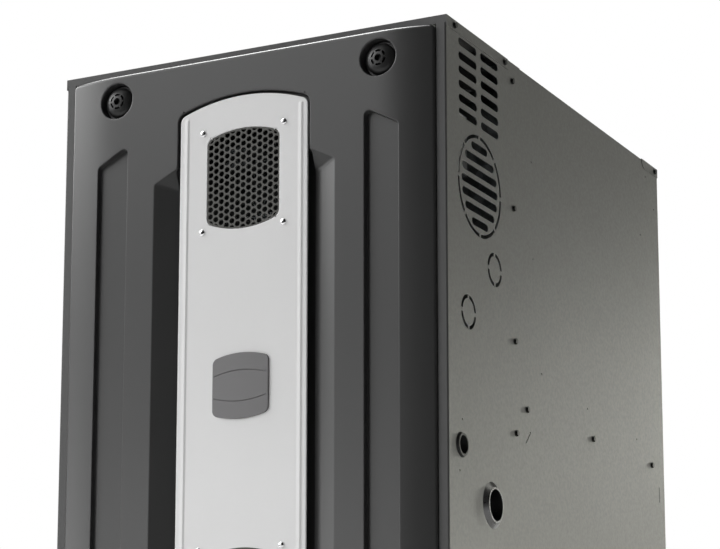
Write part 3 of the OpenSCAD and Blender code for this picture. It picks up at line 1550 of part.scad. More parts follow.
// Quarter-turn knob with its stud and wing
module knob(x) {
    y0 = face_y + knob_sunk;
    y1 = face_y + cup_depth - knob_gap;
    h = y1 - y0;
    r = knob_d / 2;
    wing_y = ledge_y + sheet + wing_gap;
    color("black") translate([x, 0, knob_z]) {
        difference() {
            translate([0, y1, 0]) rotate([90, 0, 0]) rotate_extrude($fn = round_n) polygon(concat(
                [[0, 0], [r, 0]],
                [for (i = [0:dome_steps])
                    let (a = i * 90 / dome_steps)
                    [r * cos(a), h - knob_dome + knob_dome * sin(a)]]));
            rod_y(0, [y0 - over, y0 + h / 2], 0, knob_hole_r, fine);
            front_plate([y0 - over, y0 + knob_slot_d]) ring_slit(knob_slot_r, knob_slot_w, knob_bridge, 6);
        }
        rod_y(0, [y1, wing_y + wing_t], 0, stud_r, fine);
        block([-wing_w / 2, wing_w / 2], [wing_y, wing_y + wing_t], [-wing_l / 2, wing_l / 2]);
    }
}
module knob_left() {
    knob(-knob_x);
}
module knob_right() {
    knob(knob_x);
}

side_panel_right();
side_panel_left();
back_panel();
base_pan();
base_rail();
top_cover();
rear_top_rail();
header_rail();
latch_rings();
blower_deck();
vestibule_panel();
control_plate();
casing_screws();
conduit_bushings();
drain_couplings();
side_insulation();
heat_exchanger_tubes();
rear_header();
secondary_tubes();
secondary_fins();
cold_header();
burner_box();
burners();
gas_manifold();
gas_valve();
gas_valve_switch();
igniter();
flame_sensor();
rollout_switches();
rollout_button_left();
rollout_button_right();
limit_switch();
inducer_housing();
inducer_motor();
inducer_wheel();
vent_pipe();
pipe_collars();
condensate_trap();
drain_hose();
pressure_switch();
pressure_tubes();
control_board();
transformer();
door_switch();
door_switch_plunger();
junction_box();
blower_housing();
blower_motor();
motor_bracket();
blower_wheel();
wiring_harness();
door_shell();
door_liner();
door_gasket();
centre_panel();
panel_grilles();
badge_plate();
panel_screws();
knob_left();
knob_right();
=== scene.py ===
# %% [markdown]
# # A forced air gas furnace
# The cabinet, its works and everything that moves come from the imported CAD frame. This file gives them
# their looks: a moulded door with rolled sides, a silver centre panel, quarter-turn knobs, and painted,
# galvanised and moulded finishes. All lengths are in metres, in the same frame as the CAD: X across the
# cabinet, Y from front to back, Z up from the floor.

import bmesh
import bpy
import numpy as np
from mathutils import Matrix, Vector
from mathutils.geometry import delaunay_2d_cdt


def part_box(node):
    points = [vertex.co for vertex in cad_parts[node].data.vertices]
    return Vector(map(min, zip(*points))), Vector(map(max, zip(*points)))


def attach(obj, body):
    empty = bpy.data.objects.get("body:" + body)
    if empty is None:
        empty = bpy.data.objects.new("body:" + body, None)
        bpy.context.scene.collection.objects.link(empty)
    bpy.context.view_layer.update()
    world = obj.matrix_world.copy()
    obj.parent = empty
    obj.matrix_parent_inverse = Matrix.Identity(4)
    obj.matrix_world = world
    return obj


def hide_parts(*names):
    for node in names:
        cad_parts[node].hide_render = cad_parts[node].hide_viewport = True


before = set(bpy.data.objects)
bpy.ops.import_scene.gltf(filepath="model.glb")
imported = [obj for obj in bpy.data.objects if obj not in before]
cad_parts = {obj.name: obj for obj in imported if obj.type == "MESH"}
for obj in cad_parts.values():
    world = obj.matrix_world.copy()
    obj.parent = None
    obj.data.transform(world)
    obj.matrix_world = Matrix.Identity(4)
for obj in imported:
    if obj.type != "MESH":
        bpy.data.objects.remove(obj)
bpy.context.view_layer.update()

# %% [markdown]
# ## The camera
# The photograph was taken with a long lens from the front right, a little below the cabinet's base, and
# looks up. A camera fitted to the cabinet's edges gave the place and the angles below. The picture is cut
# from a larger one, so the lens is shifted upwards too.

# %% Camera
camera_place = Vector((1.4513, -2.9006, -0.1794))
yaw, rise = np.radians(26.97), np.radians(-11.45)
back = Vector((np.sin(yaw) * np.cos(rise), -np.cos(yaw) * np.cos(rise), np.sin(rise)))
right = Vector((np.cos(yaw), np.sin(yaw), 0))
up = back.cross(right)
camera_data = bpy.data.cameras.new("camera")
camera_data.lens = 125
camera_data.sensor_width = 36
camera_data.shift_y = 0.182
camera_data.clip_end = 50
camera = bpy.data.objects.new("camera", camera_data)
camera.matrix_world = Matrix((right, up, back)).transposed().to_4x4()
camera.location = camera_place
bpy.context.scene.collection.objects.link(camera)
bpy.context.scene.camera = camera
print("camera at", [round(v, 3) for v in camera_place])

# %% [markdown]
# ## Floor and surround
# The floor is plain and pale. It ends 1.2 m in front of the door, because the camera stands lower than
# the floor and would otherwise look at the floor's underside. The surround is white to the camera, and
# nearly black to everything else, so that only the lamps light the furnace.


# %% Floor and surround
def add_object(name, mesh):
    piece = bpy.data.objects.new(name, mesh)
    bpy.context.scene.collection.objects.link(piece)
    return piece


floor_side, floor_front, floor_back = 6, -1.6, 7
floor_mesh = bpy.data.meshes.new("floor")
floor_corners = [(-floor_side, floor_front, 0), (floor_side, floor_front, 0),
                 (floor_side, floor_back, 0), (-floor_side, floor_back, 0)]
floor_mesh.from_pydata(floor_corners, [], [(0, 1, 2, 3)])
floor = add_object("floor", floor_mesh)

world = bpy.data.worlds.new("surround")
bpy.context.scene.world = world
world.use_nodes = True
nodes, links = world.node_tree.nodes, world.node_tree.links
nodes.clear()
seen = nodes.new("ShaderNodeBackground")
seen.inputs["Color"].default_value = (1, 1, 1, 1)
seen.inputs["Strength"].default_value = 1.0
felt = nodes.new("ShaderNodeBackground")
felt.inputs["Color"].default_value = (1, 1, 1, 1)
felt.inputs["Strength"].default_value = 0.02
path = nodes.new("ShaderNodeLightPath")
mix = nodes.new("ShaderNodeMixShader")
out = nodes.new("ShaderNodeOutputWorld")
links.new(path.outputs["Is Camera Ray"], mix.inputs["Fac"])
links.new(felt.outputs[0], mix.inputs[1])
links.new(seen.outputs[0], mix.inputs[2])
links.new(mix.outputs[0], out.inputs["Surface"])
print("floor from", floor_front, "to", floor_back, "m")

# %% [markdown]
# ## Lamps
# The dark door mostly shows what it mirrors, so its tones come from where the lamps stand. Large lamps at
# the front left light the face and the left roll, and leave the right roll and the left slope of the
# recess dark. One lamp stands just behind the plane of the face and catches only the rims. Lamps at the
# rear right light the side wall, and one that is nearly in its plane throws the screws' short shadows. A
# small one near the floor brightens the wall's lower rear. One overhead draws the bright line on the
# door's top edge.


# %% Lamps
def soft_lamp(name, place, aim, width, height, power, tint):
    """A rectangular lamp at place whose face looks at aim."""
    data = bpy.data.lights.new(name, "AREA")
    data.shape = "RECTANGLE"
    data.size, data.size_y = width, height
    data.energy = power
    data.color = tint
    lamp = bpy.data.objects.new(name, data)
    lamp.location = place
    lamp.rotation_euler = (Vector(aim) - Vector(place)).to_track_quat("-Z", "Y").to_euler()
    bpy.context.scene.collection.objects.link(lamp)


def around(azimuth, rise_angle, distance):
    """A place round the door's middle: azimuth 0 is straight in front, and -90 is straight left."""
    turn, lift = np.radians(azimuth), np.radians(rise_angle)
    step = (np.sin(turn) * np.cos(lift), -np.cos(turn) * np.cos(lift), np.sin(lift))
    return tuple(np.array(door_middle) + distance * np.array(step))


door_middle, lamp_distance, lamp_width = (0, -0.36, 0.5), 8, 3.6
white, straw = (1, 1, 1), (1, 1, 0.9)
# Each lamp's azimuth and rise in degrees, height in metres, power in watts, and tint
ring_of_lamps = {
    "front_left": (-30, 30, 3.4, 79, white),
    "front_left_low": (-30, 4, 1.2, 50, white),
    "front_left_top": (-30, 56, 3.4, 22, white),
    "left": (-60, 30, 3.4, 195, white),
    "left_low": (-60, 4, 1.2, 58, white),
    "rim": (-92, 30, 3.4, 325, white),
    "right_rear": (135, 32, 3.4, 74, straw),
    "right_rear_low": (135, 4, 1.2, 42, straw),
}
for name, (azimuth, rise_angle, height, power, tint) in ring_of_lamps.items():
    place = around(azimuth, rise_angle, lamp_distance)
    soft_lamp(name, place, door_middle, lamp_width, height, power, tint)
# The other lamps' place, aim, width, height, power and tint
soft_lamp("overhead", (-1.2, 0.4, 3.4), (0, -0.1, 0.86), 2.6, 1.4, 120, white)
soft_lamp("grazing", around(169, 10, lamp_distance), (0.27, 0.1, 0.5), 0.9, 0.9, 41, straw)
soft_lamp("low_right", (1.3, 1.1, 0.06), (0.27, 0.7, 0.25), 0.8, 0.1, 18, straw)
bpy.context.scene.view_settings.view_transform = "Standard"

# %% [markdown]
# ## Finishes
# Each effect that more than one finish uses is a node group: a fine grain, broad uneven patches, drawn
# streaks and zinc spangle. A group puts out values that change over the surface; every finish
# places the groups with its own numbers and keeps its own shader.


# %% Node groups
def new_group(name, inputs, outputs):
    """An empty group with named float inputs (with defaults) and outputs."""
    group = bpy.data.node_groups.new(name, "ShaderNodeTree")
    for label, value in inputs.items():
        socket = group.interface.new_socket(name=label, in_out="INPUT", socket_type="NodeSocketFloat")
        socket.default_value = value
    for label in outputs:
        group.interface.new_socket(name=label, in_out="OUTPUT", socket_type="NodeSocketFloat")
    return group, group.nodes.new("NodeGroupInput"), group.nodes.new("NodeGroupOutput")


def times(tree, value, factor):
    """A Math node that multiplies a socket's value by a number."""
    node = tree.nodes.new("ShaderNodeMath")
    node.operation = "MULTIPLY"
    node.inputs[1].default_value = factor
    tree.links.new(value, node.inputs[0])
    return node.outputs[0]


def place_on_object(tree, stretch=(1, 1, 1)):
    """Object coordinates, stretched along the axes."""
    coords = tree.nodes.new("ShaderNodeTexCoord")
    mapping = tree.nodes.new("ShaderNodeMapping")
    mapping.inputs["Scale"].default_value = stretch
    tree.links.new(coords.outputs["Object"], mapping.inputs["Vector"])
    return mapping.outputs["Vector"]


def noise(tree, vector, scale, detail=2.0, roughness=0.5):
    """A noise texture's value; scale is a socket or a number."""
    node = tree.nodes.new("ShaderNodeTexNoise")
    node.inputs["Detail"].default_value = detail
    node.inputs["Roughness"].default_value = roughness
    tree.links.new(vector, node.inputs["Vector"])
    if isinstance(scale, (int, float)):
        node.inputs["Scale"].default_value = scale
    else:
        tree.links.new(scale, node.inputs["Scale"])
    return node.outputs["Fac"]


grain, group_in, group_out = new_group("fine_grain", {"Per metre": 900.0}, ["Height", "Tone"])
spot = place_on_object(grain)
grain.links.new(noise(grain, spot, group_in.outputs["Per metre"], 3.0, 0.6), group_out.inputs["Height"])
coarse = times(grain, group_in.outputs["Per metre"], 0.35)
grain.links.new(noise(grain, spot, coarse), group_out.inputs["Tone"])

patches, group_in, group_out = new_group("broad_patches", {"Per metre": 5.0}, ["Tone"])
spot = place_on_object(patches)
patches.links.new(noise(patches, spot, group_in.outputs["Per metre"], 4.0, 0.55), group_out.inputs["Tone"])

streaks, group_in, group_out = new_group("drawn_streaks", {"Per metre": 700.0}, ["Height", "Tone"])
spot = place_on_object(streaks, (1, 1, 0.02))
streaks.links.new(noise(streaks, spot, group_in.outputs["Per metre"]), group_out.inputs["Height"])
coarse = times(streaks, group_in.outputs["Per metre"], 0.3)
streaks.links.new(noise(streaks, spot, coarse), group_out.inputs["Tone"])

spangle, group_in, group_out = new_group("zinc_spangle", {"Per metre": 110.0}, ["Height", "Tone"])
cells = spangle.nodes.new("ShaderNodeTexVoronoi")
spangle.links.new(place_on_object(spangle), cells.inputs["Vector"])
spangle.links.new(group_in.outputs["Per metre"], cells.inputs["Scale"])
parts_of_colour = spangle.nodes.new("ShaderNodeSeparateColor")
spangle.links.new(cells.outputs["Color"], parts_of_colour.inputs["Color"])
spangle.links.new(parts_of_colour.outputs["Red"], group_out.inputs["Tone"])
spangle.links.new(cells.outputs["Distance"], group_out.inputs["Height"])
groups = {"grain": grain, "patches": patches, "streaks": streaks, "spangle": spangle}
print("node groups", sorted(groups))


# %% A finish made of groups
def vary(tree, low, high, value):
    """A colour that runs from low to high with value."""
    node = tree.nodes.new("ShaderNodeMix")
    node.data_type = "RGBA"
    node.inputs["A"].default_value = (*low, 1)
    node.inputs["B"].default_value = (*high, 1)
    tree.links.new(value, node.inputs["Factor"])
    return node.outputs["Result"]


def spread(tree, value, low, high):
    """Value from 0.3 to 0.7, stretched to run from low to high."""
    node = tree.nodes.new("ShaderNodeMapRange")
    node.inputs["From Min"].default_value = 0.3
    node.inputs["From Max"].default_value = 0.7
    node.inputs["To Min"].default_value = low
    node.inputs["To Max"].default_value = high
    tree.links.new(value, node.inputs["Value"])
    return node.outputs["Result"]


def finish(name, colour, shift=0.06, rough=(0.4, 0.5), bump=0.1, depth=0.0002, pattern="grain",
           per_metre=900.0, tone="patches", tone_per_metre=5.0, metallic=0.0, coat=0.0, specular=0.5):
    """A surface finish: pattern's Height feeds the bump and its Tone the roughness, and tone's Tone shifts
    the colour. The patterns' scales are per metre and the bump's depth is in metres."""
    material = bpy.data.materials.new(name)
    material.use_nodes = True
    tree = material.node_tree
    shader = tree.nodes["Principled BSDF"]
    shader.inputs["Metallic"].default_value = metallic
    shader.inputs["Coat Weight"].default_value = coat
    shader.inputs["Coat Roughness"].default_value = 0.2
    shader.inputs["Specular IOR Level"].default_value = specular
    detail = tree.nodes.new("ShaderNodeGroup")
    detail.node_tree = groups[pattern]
    detail.inputs["Per metre"].default_value = per_metre
    broad = tree.nodes.new("ShaderNodeGroup")
    broad.node_tree = groups[tone]
    broad.inputs["Per metre"].default_value = tone_per_metre
    colour = np.array(colour)
    tone_value = spread(tree, broad.outputs["Tone"], 0, 1)
    tinted = vary(tree, colour * (1 - shift), np.minimum(colour * (1 + shift), 1), tone_value)
    tree.links.new(tinted, shader.inputs["Base Color"])
    tree.links.new(spread(tree, detail.outputs["Tone"], *rough), shader.inputs["Roughness"])
    bumps = tree.nodes.new("ShaderNodeBump")
    bumps.inputs["Strength"].default_value = bump
    bumps.inputs["Distance"].default_value = depth
    tree.links.new(detail.outputs["Height"], bumps.inputs["Height"])
    tree.links.new(bumps.outputs["Normal"], shader.inputs["Normal"])
    return material


# %% The door's and the cabinet's finishes
paint = finish("powder_coat", (0.068, 0.068, 0.068), shift=0.05, rough=(0.38, 0.5), bump=0.12,
               per_metre=700)
door_finish = finish("moulded_charcoal", (0.040, 0.040, 0.040), shift=0.04, rough=(0.28, 0.35), bump=0.06,
                     per_metre=1500, specular=0.62)
knob_finish = finish("moulded_black", (0.02, 0.02, 0.02), shift=0.08, rough=(0.3, 0.4), bump=0.08,
                     per_metre=1600)
panel_finish = finish("silver_paint", (0.80, 0.80, 0.80), shift=0.015, rough=(0.34, 0.42), bump=0.05,
                      per_metre=2200, metallic=0.1)
badge_finish = finish("badge_satin", (0.183, 0.180, 0.183), shift=0.04, rough=(0.35, 0.45), bump=0.06,
                      per_metre=1800)
mesh_finish = finish("mesh_paint", (0.080, 0.080, 0.072), shift=0.08, rough=(0.4, 0.55), per_metre=1200)
# The liner's nearly black colour is painted shade: it stands in for the dark space seen behind the grilles.
liner_shade_finish = finish("painted_shade_liner", (0.006, 0.006, 0.006), shift=0.1, rough=(0.5, 0.6), bump=0.05,
                      specular=0.15)
chrome = finish("bright_chrome", (0.88, 0.88, 0.89), shift=0.02, rough=(0.08, 0.16), bump=0.03,
                per_metre=1500, metallic=1.0)
dark_screw = finish("dark_screw", (0.02, 0.02, 0.02), shift=0.1, rough=(0.35, 0.5), bump=0.08,
                    per_metre=1500, metallic=0.6)
worn_zinc = finish("worn_zinc", (0.17, 0.17, 0.175), shift=0.08, rough=(0.26, 0.38), bump=0.06,
                   per_metre=1100, metallic=1.0)
rubber = finish("black_rubber", (0.016, 0.016, 0.016), shift=0.12, rough=(0.55, 0.7), bump=0.12,
                per_metre=1100)
print("materials so far, with the frame's own:", len(bpy.data.materials))


# %% The finishes of the works inside
galvanised = finish("galvanised_sheet", (0.50, 0.52, 0.53), shift=0.16, rough=(0.34, 0.5), bump=0.05,
                    pattern="spangle", tone="spangle", per_metre=110, tone_per_metre=110, metallic=1.0)
zinc = finish("zinc_plate", (0.56, 0.56, 0.55), rough=(0.25, 0.38), bump=0.06, per_metre=1300, metallic=1.0)
stainless = finish("stainless_sheet", (0.55, 0.55, 0.56), shift=0.07, rough=(0.26, 0.42), bump=0.06,
                   pattern="streaks", tone="streaks", per_metre=700, tone_per_metre=500, metallic=1.0)
aluminised = finish("aluminised_tube", (0.50, 0.50, 0.49), shift=0.1, rough=(0.4, 0.55), bump=0.08,
                    per_metre=500, tone_per_metre=14, metallic=1.0)
aluminium = finish("cast_aluminium", (0.66, 0.67, 0.69), rough=(0.36, 0.5), bump=0.15, per_metre=800,
                   metallic=1.0)
enamel = finish("black_enamel", (0.022, 0.022, 0.024), shift=0.1, rough=(0.22, 0.34), bump=0.06,
                per_metre=600, coat=0.4)
iron_pipe = finish("black_iron", (0.045, 0.043, 0.042), shift=0.15, rough=(0.45, 0.62), bump=0.2,
                   per_metre=600, metallic=0.5)
black_plastic = finish("black_moulding", (0.022, 0.022, 0.023), shift=0.1, rough=(0.4, 0.55), bump=0.12,
                       per_metre=1400)
white_plastic = finish("white_moulding", (0.72, 0.72, 0.69), shift=0.03, rough=(0.3, 0.42), bump=0.05,
                       per_metre=1400)
red_plastic = finish("red_moulding", (0.42, 0.02, 0.018), shift=0.08, rough=(0.3, 0.42), bump=0.06,
                     per_metre=1400)
board = finish("board_green", (0.018, 0.11, 0.05), shift=0.25, rough=(0.25, 0.4), bump=0.15,
               pattern="spangle", tone="spangle", per_metre=420, tone_per_metre=260)
foil = finish("foil_facing", (0.70, 0.71, 0.72), shift=0.05, rough=(0.3, 0.45), bump=0.2, depth=0.0005,
              pattern="spangle", per_metre=60, metallic=1.0)
floor_finish = finish("pale_floor", (0.82, 0.82, 0.82), shift=0.01, rough=(0.6, 0.7), bump=0.02, per_metre=60)
floor_mesh.materials.append(floor_finish)
print("all materials, with the frame's own:", len(bpy.data.materials))

# %% [markdown]
# ## Dressing the CAD nodes
# Each node of the frame wears one finish. The nodes that a finer piece replaces further down are dressed
# too, so that none is left bare.

# %% Dress the CAD nodes
worn_by = {
    paint: ["side_panel_right", "side_panel_left", "back_panel", "base_rail", "top_cover", "rear_top_rail"],
    galvanised: ["base_pan", "header_rail", "blower_deck", "vestibule_panel", "control_plate",
                 "junction_box", "motor_bracket", "blower_housing", "blower_wheel", "burner_box"],
    zinc: ["latch_rings"],
    worn_zinc: ["drain_couplings"],
    dark_screw: ["casing_screws"],
    stainless: ["rear_header", "secondary_tubes", "burners", "flame_sensor"],
    aluminised: ["heat_exchanger_tubes"],
    aluminium: ["secondary_fins", "gas_valve", "inducer_wheel"],
    enamel: ["blower_motor", "inducer_motor"],
    iron_pipe: ["gas_manifold"],
    black_plastic: ["inducer_housing", "cold_header", "rollout_switches", "limit_switch", "pressure_switch",
                    "condensate_trap", "door_switch", "transformer"],
    board: ["control_board"],
    white_plastic: ["gas_valve_switch", "door_switch_plunger", "igniter", "vent_pipe"],
    red_plastic: ["rollout_button_left", "rollout_button_right"],
    rubber: ["conduit_bushings", "pipe_collars", "drain_hose", "wiring_harness", "pressure_tubes",
             "door_gasket"],
    foil: ["side_insulation"],
    door_finish: ["door_shell"],
    knob_finish: ["knob_left", "knob_right"],
    panel_finish: ["centre_panel"],
    mesh_finish: ["panel_grilles"],
    # The door liner wears a nearly black painted shade for the dark space behind the grilles.
    liner_shade_finish: ["door_liner"],
    badge_finish: ["badge_plate"],
    chrome: ["panel_screws"],
}
for material, names in worn_by.items():
    for name in names:
        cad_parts[name].data.materials.clear()
        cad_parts[name].data.materials.append(material)
bare = set(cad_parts) - {name for names in worn_by.values() for name in names}
print("nodes without a finish:", sorted(bare))

# %% [markdown]
# ## The tools for pressed and moulded skins
# A moulded door is one skin with fillets everywhere: round its edge, round each pocket and cup. Such a
# skin can be cut from a block and bevelled, but then a fillet on the rolled side goes wrong. Here each
# fillet is a profile carried along an outline, and the flat between the fillets is filled with triangles
# that share their points with the fillets.


# %% Outlines
def rounded_loop(corners, steps=6):
    """Corners are rows of x, z and radius, counterclockwise. A corner's arc has its centre on the corner's
    bisector, at radius / sin(half the corner's angle) from it."""
    corners = np.asarray(corners, float)
    point, radius = corners[:, :2], corners[:, 2]
    before = np.roll(point, 1, 0) - point
    after = np.roll(point, -1, 0) - point
    before /= np.linalg.norm(before, axis=1)[:, None]
    after /= np.linalg.norm(after, axis=1)[:, None]
    half = np.arccos(np.clip((before * after).sum(1), -1, 1)) / 2
    middle = before + after
    middle /= np.linalg.norm(middle, axis=1)[:, None] + 1e-12
    centre = point + middle * (radius / np.sin(half))[:, None]
    first = point + before * (radius / np.tan(half))[:, None] - centre
    last = point + after * (radius / np.tan(half))[:, None] - centre
    start = np.arctan2(first[:, 1], first[:, 0])
    sweep = (np.arctan2(last[:, 1], last[:, 0]) - start + np.pi) % (2 * np.pi) - np.pi
    angle = start[:, None] + sweep[:, None] * np.linspace(0, 1, steps + 1)
    loop = centre[:, None] + radius[:, None, None] * np.stack([np.cos(angle), np.sin(angle)], 2)
    loop = loop.reshape(-1, 2)
    return loop[np.linalg.norm(loop - np.roll(loop, 1, 0), axis=1) > 1e-7]


def arch_rows(half, z, bulge, side, radius, steps=24):
    """An arch from +half to -half (side 1) or back (side -1): a circle's arc that bulges by bulge, with
    corners of the given radius at its two ends."""
    big = (half * half + bulge * bulge) / (2 * bulge)
    x = side * half * np.linspace(1, -1, steps + 1)
    ends = np.zeros(steps + 1)
    ends[[0, -1]] = radius
    return np.stack([x, z + side * (np.sqrt(big * big - x * x) - big + bulge), ends], 1)


def arched_loop(half, top, top_bulge, bottom, bottom_bulge, radius, steps=24):
    """A plate with straight sides and an arched top and bottom, as the centre panel, windows and badge. An
    arch's steps must be longer than the cut that a corner's arc makes in them."""
    top_rows = arch_rows(half, top - top_bulge, top_bulge, 1, radius, steps)
    bottom_rows = arch_rows(half, bottom + bottom_bulge, bottom_bulge, -1, radius, steps)
    return rounded_loop(np.concatenate([top_rows, bottom_rows]))


def box_loop(x0, x1, z0, z1, radius, steps):
    """A rectangle with rounded corners."""
    return rounded_loop([[x1, z1, radius], [x0, z1, radius], [x0, z0, radius], [x1, z0, radius]], steps)


def densified(loop, step):
    """The same loop with every side cut into pieces no longer than step."""
    after = np.roll(loop, -1, 0)
    count = np.maximum(1, np.ceil(np.linalg.norm(after - loop, axis=1) / step)).astype(int)
    side = np.repeat(np.arange(len(loop)), count)
    place = np.arange(count.sum()) - np.repeat(np.cumsum(count) - count, count)
    return loop[side] + (place / count[side])[:, None] * (after - loop)[side]


def outward(loop):
    """Outward normals of a counterclockwise loop: the tangent turned a quarter clockwise."""
    tangent = np.roll(loop, -1, 0) - np.roll(loop, 1, 0)
    tangent /= np.linalg.norm(tangent, axis=1)[:, None]
    return np.stack([tangent[:, 1], -tangent[:, 0]], 1)


def offset_rows(loop, off):
    """Rows of points beside a loop: row t stands off(t) outside it, or inside it where off(t) is negative."""
    return loop[:, None] + outward(loop)[:, None] * off[None, :, None]


def circle_loop(x, z, radius):
    """A circle of 72 points: its middle plus radius times the cosine and sine of the angle."""
    angle = np.linspace(0, 2 * np.pi, 72, endpoint=False)
    return np.stack([x + radius * np.cos(angle), z + radius * np.sin(angle)], 1)


print("a rounded square has", len(box_loop(-1, 1, -1, 1, 0.2, 6)), "points")

# %% [markdown]
# ## Filling and welding
# A flat between outlines is filled with a constrained Delaunay triangulation, which keeps every side of
# the outlines and takes in extra points where the face is curved. The strips and fills of one piece are
# then welded where their points meet.


# %% Grids and fills
def grid_faces(rows, cols, closed=True):
    """Quads of a grid of rows by cols points; closed joins the last row to the first."""
    i, j = np.meshgrid(np.arange(rows if closed else rows - 1), np.arange(cols - 1), indexing="ij")
    a, b = i * cols + j, (i + 1) % rows * cols + j
    return np.stack([a, a + 1, b + 1, b], -1).reshape(-1, 4)


def inside(points, loop):
    """Even-odd rule: a point is inside when a ray along X crosses the loop an odd number of times."""
    x, z = points[:, 0, None], points[:, 1, None]
    (x0, z0), (x1, z1) = loop.T, np.roll(loop, -1, 0).T
    spans = (z0 > z) != (z1 > z)
    cross = x0 + (z - z0) * (x1 - x0) / np.where(z1 == z0, 1e-12, z1 - z0)
    return (spans & (x < cross)).sum(1) % 2 == 1


def grid_points(columns, rows):
    """Every pair of a column and a row."""
    return np.stack(np.meshgrid(columns, rows, indexing="ij"), -1).reshape(-1, 2)


def clear_of(points, loops, gap):
    """Which points stand further than gap from every point of the loops."""
    near = [np.linalg.norm(points[:, None] - loop[None], axis=2).min(1) for loop in loops]
    return np.min(near, 0) > gap


def filled(outer, holes=(), extra=None):
    """Triangles between an outline and its holes, with the extra points taken in."""
    loops = [outer, *holes]
    sizes = np.array([len(loop) for loop in loops])
    starts = np.cumsum(sizes) - sizes
    edges = [(int(s + k), int(s + (k + 1) % n)) for s, n in zip(starts, sizes) for k in range(n)]
    points = np.concatenate(loops + ([] if extra is None else [extra]))
    found = delaunay_2d_cdt([Vector(p) for p in points], edges, [], 0, 1e-7)
    flat = np.array([tuple(p) for p in found[0]])
    triangles = np.array([f for f in found[2] if len(f) == 3])
    middle = flat[triangles].mean(1)
    keep = inside(middle, outer)
    for hole in holes:
        keep &= ~inside(middle, hole)
    return flat, triangles[keep]


print("a square fills with", len(filled(box_loop(-1, 1, -1, 1, 0.2, 6))[1]), "triangles")


# %% Meshes and fillets
def weld(name, parts, body, material, replaced, wall=0.0, sharp=40):
    """Joins parts (points, faces) into one piece, merges shared points, turns its faces towards -Y
    on the whole, and gives it a wall, soft shading, a finish and a body."""
    points = np.concatenate([p for p, _ in parts])
    shifts = np.cumsum([0] + [len(p) for p, _ in parts])
    faces = [tuple(int(k) for k in face) for (_, fs), shift in zip(parts, shifts) for face in fs + shift]
    mesh = bpy.data.meshes.new(name)
    mesh.from_pydata(points.tolist(), [], faces)
    work = bmesh.new()
    work.from_mesh(mesh)
    bmesh.ops.remove_doubles(work, verts=work.verts, dist=2e-5)
    bmesh.ops.dissolve_degenerate(work, edges=work.edges, dist=1e-6)
    bmesh.ops.recalc_face_normals(work, faces=work.faces)
    if sum(f.normal.y * f.calc_area() for f in work.faces) > 0:
        bmesh.ops.reverse_faces(work, faces=work.faces)
    work.to_mesh(mesh)
    work.free()
    piece = add_object(name, mesh)
    if wall:
        solid = piece.modifiers.new("wall", "SOLIDIFY")
        solid.thickness = wall
        solid.offset = -1
    mesh.materials.append(material)
    mesh.shade_smooth()
    mesh.set_sharp_from_angle(angle=np.radians(sharp))
    soft = piece.modifiers.new("soft_shading", "WEIGHTED_NORMAL")
    soft.keep_sharp = True
    soft.weight = 80
    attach(piece, body)
    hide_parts(*replaced)
    print(name, len(mesh.vertices), "points", len(mesh.polygons), "faces")


def quarter(radius, steps, ring=0.0):
    """A fillet's profile: how far it stands off the wall, and how far it has dropped from the face. A flat
    ring before it keeps the shading of the fillet away from the large triangles of the face."""
    angle = np.radians(np.linspace(0, 90, steps + 1))
    off, drop = radius * (1 - np.sin(angle)), radius * (1 - np.cos(angle))
    return (np.append(off[0] + ring, off), np.append(0, drop)) if ring else (off, drop)


print("a fillet of 1 mm stands off", quarter(1, 4)[0].round(3), "and drops", quarter(1, 4)[1].round(3))


# %% [markdown]
# ## The door skin
# The face is flat in the middle. From 180 mm out it rolls back on an arc of 267 mm radius, and meets the
# cabinet's frame 10 mm lower. Its depth behind the flat face is R - sqrt(R^2 - (|x| - 180 mm)^2). All the
# other forms hang from that one function: the edge fillet, the tall pockets, the knob cups, and the
# loop that is the panel's seat at its top and bottom and the bevelled recess at its sides.

# %% Door sizes, from the frame and the CAD source
mm = 0.001
face_proud, roll_drop, flat_half = 14.25 * mm, 10.25 * mm, 180 * mm
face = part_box("side_panel_right")[0].y - face_proud
door_low, door_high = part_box("door_shell")
door_back = door_high.y
middle_z = (door_low.z + door_high.z) / 2
door_half = door_high.x
door_half_h = (door_high.z - door_low.z) / 2
roll_radius = ((door_half - flat_half) ** 2 + roll_drop**2) / (2 * roll_drop)
print("door", round(2 * door_half, 4), "by", round(2 * door_half_h, 4), "roll radius", round(roll_radius, 4))


def face_drop(x):
    """Depth of the face behind its flat middle: R - sqrt(R^2 - s^2), where s is how far x is past the
    flat."""
    past = np.clip(np.abs(x) - flat_half, 0, door_half - flat_half)
    return roll_radius - np.sqrt(roll_radius**2 - past**2)


def on_door(flat, drop):
    """Door outline points (x, height from the middle) and depths behind the flat face, in the frame."""
    return np.stack([flat[..., 0], face + drop, middle_z + flat[..., 1]], -1)


def carried(loop, off, share, bottom_depth):
    """A profile carried along a loop: point (s, t) stands off(t) outside loop(s), and lies share(t) of the
    way from the face down to bottom_depth."""
    flat = offset_rows(loop, off)
    start = face_drop(flat[..., 0])
    return flat, start + (bottom_depth - start) * share


def strip(flat, depth):
    """A carried grid as points and quads, ready to weld."""
    return on_door(flat, depth).reshape(-1, 3), grid_faces(flat.shape[0], flat.shape[1])


# %% [markdown]
# ## The door's edge, pockets and cups
# Each form starts with a narrow flat ring on the face. Then come a fillet and a wall, and in the pockets
# and cups a second fillet at the bottom. The first row of each is kept as a rim, and the face is filled
# between the rims later.

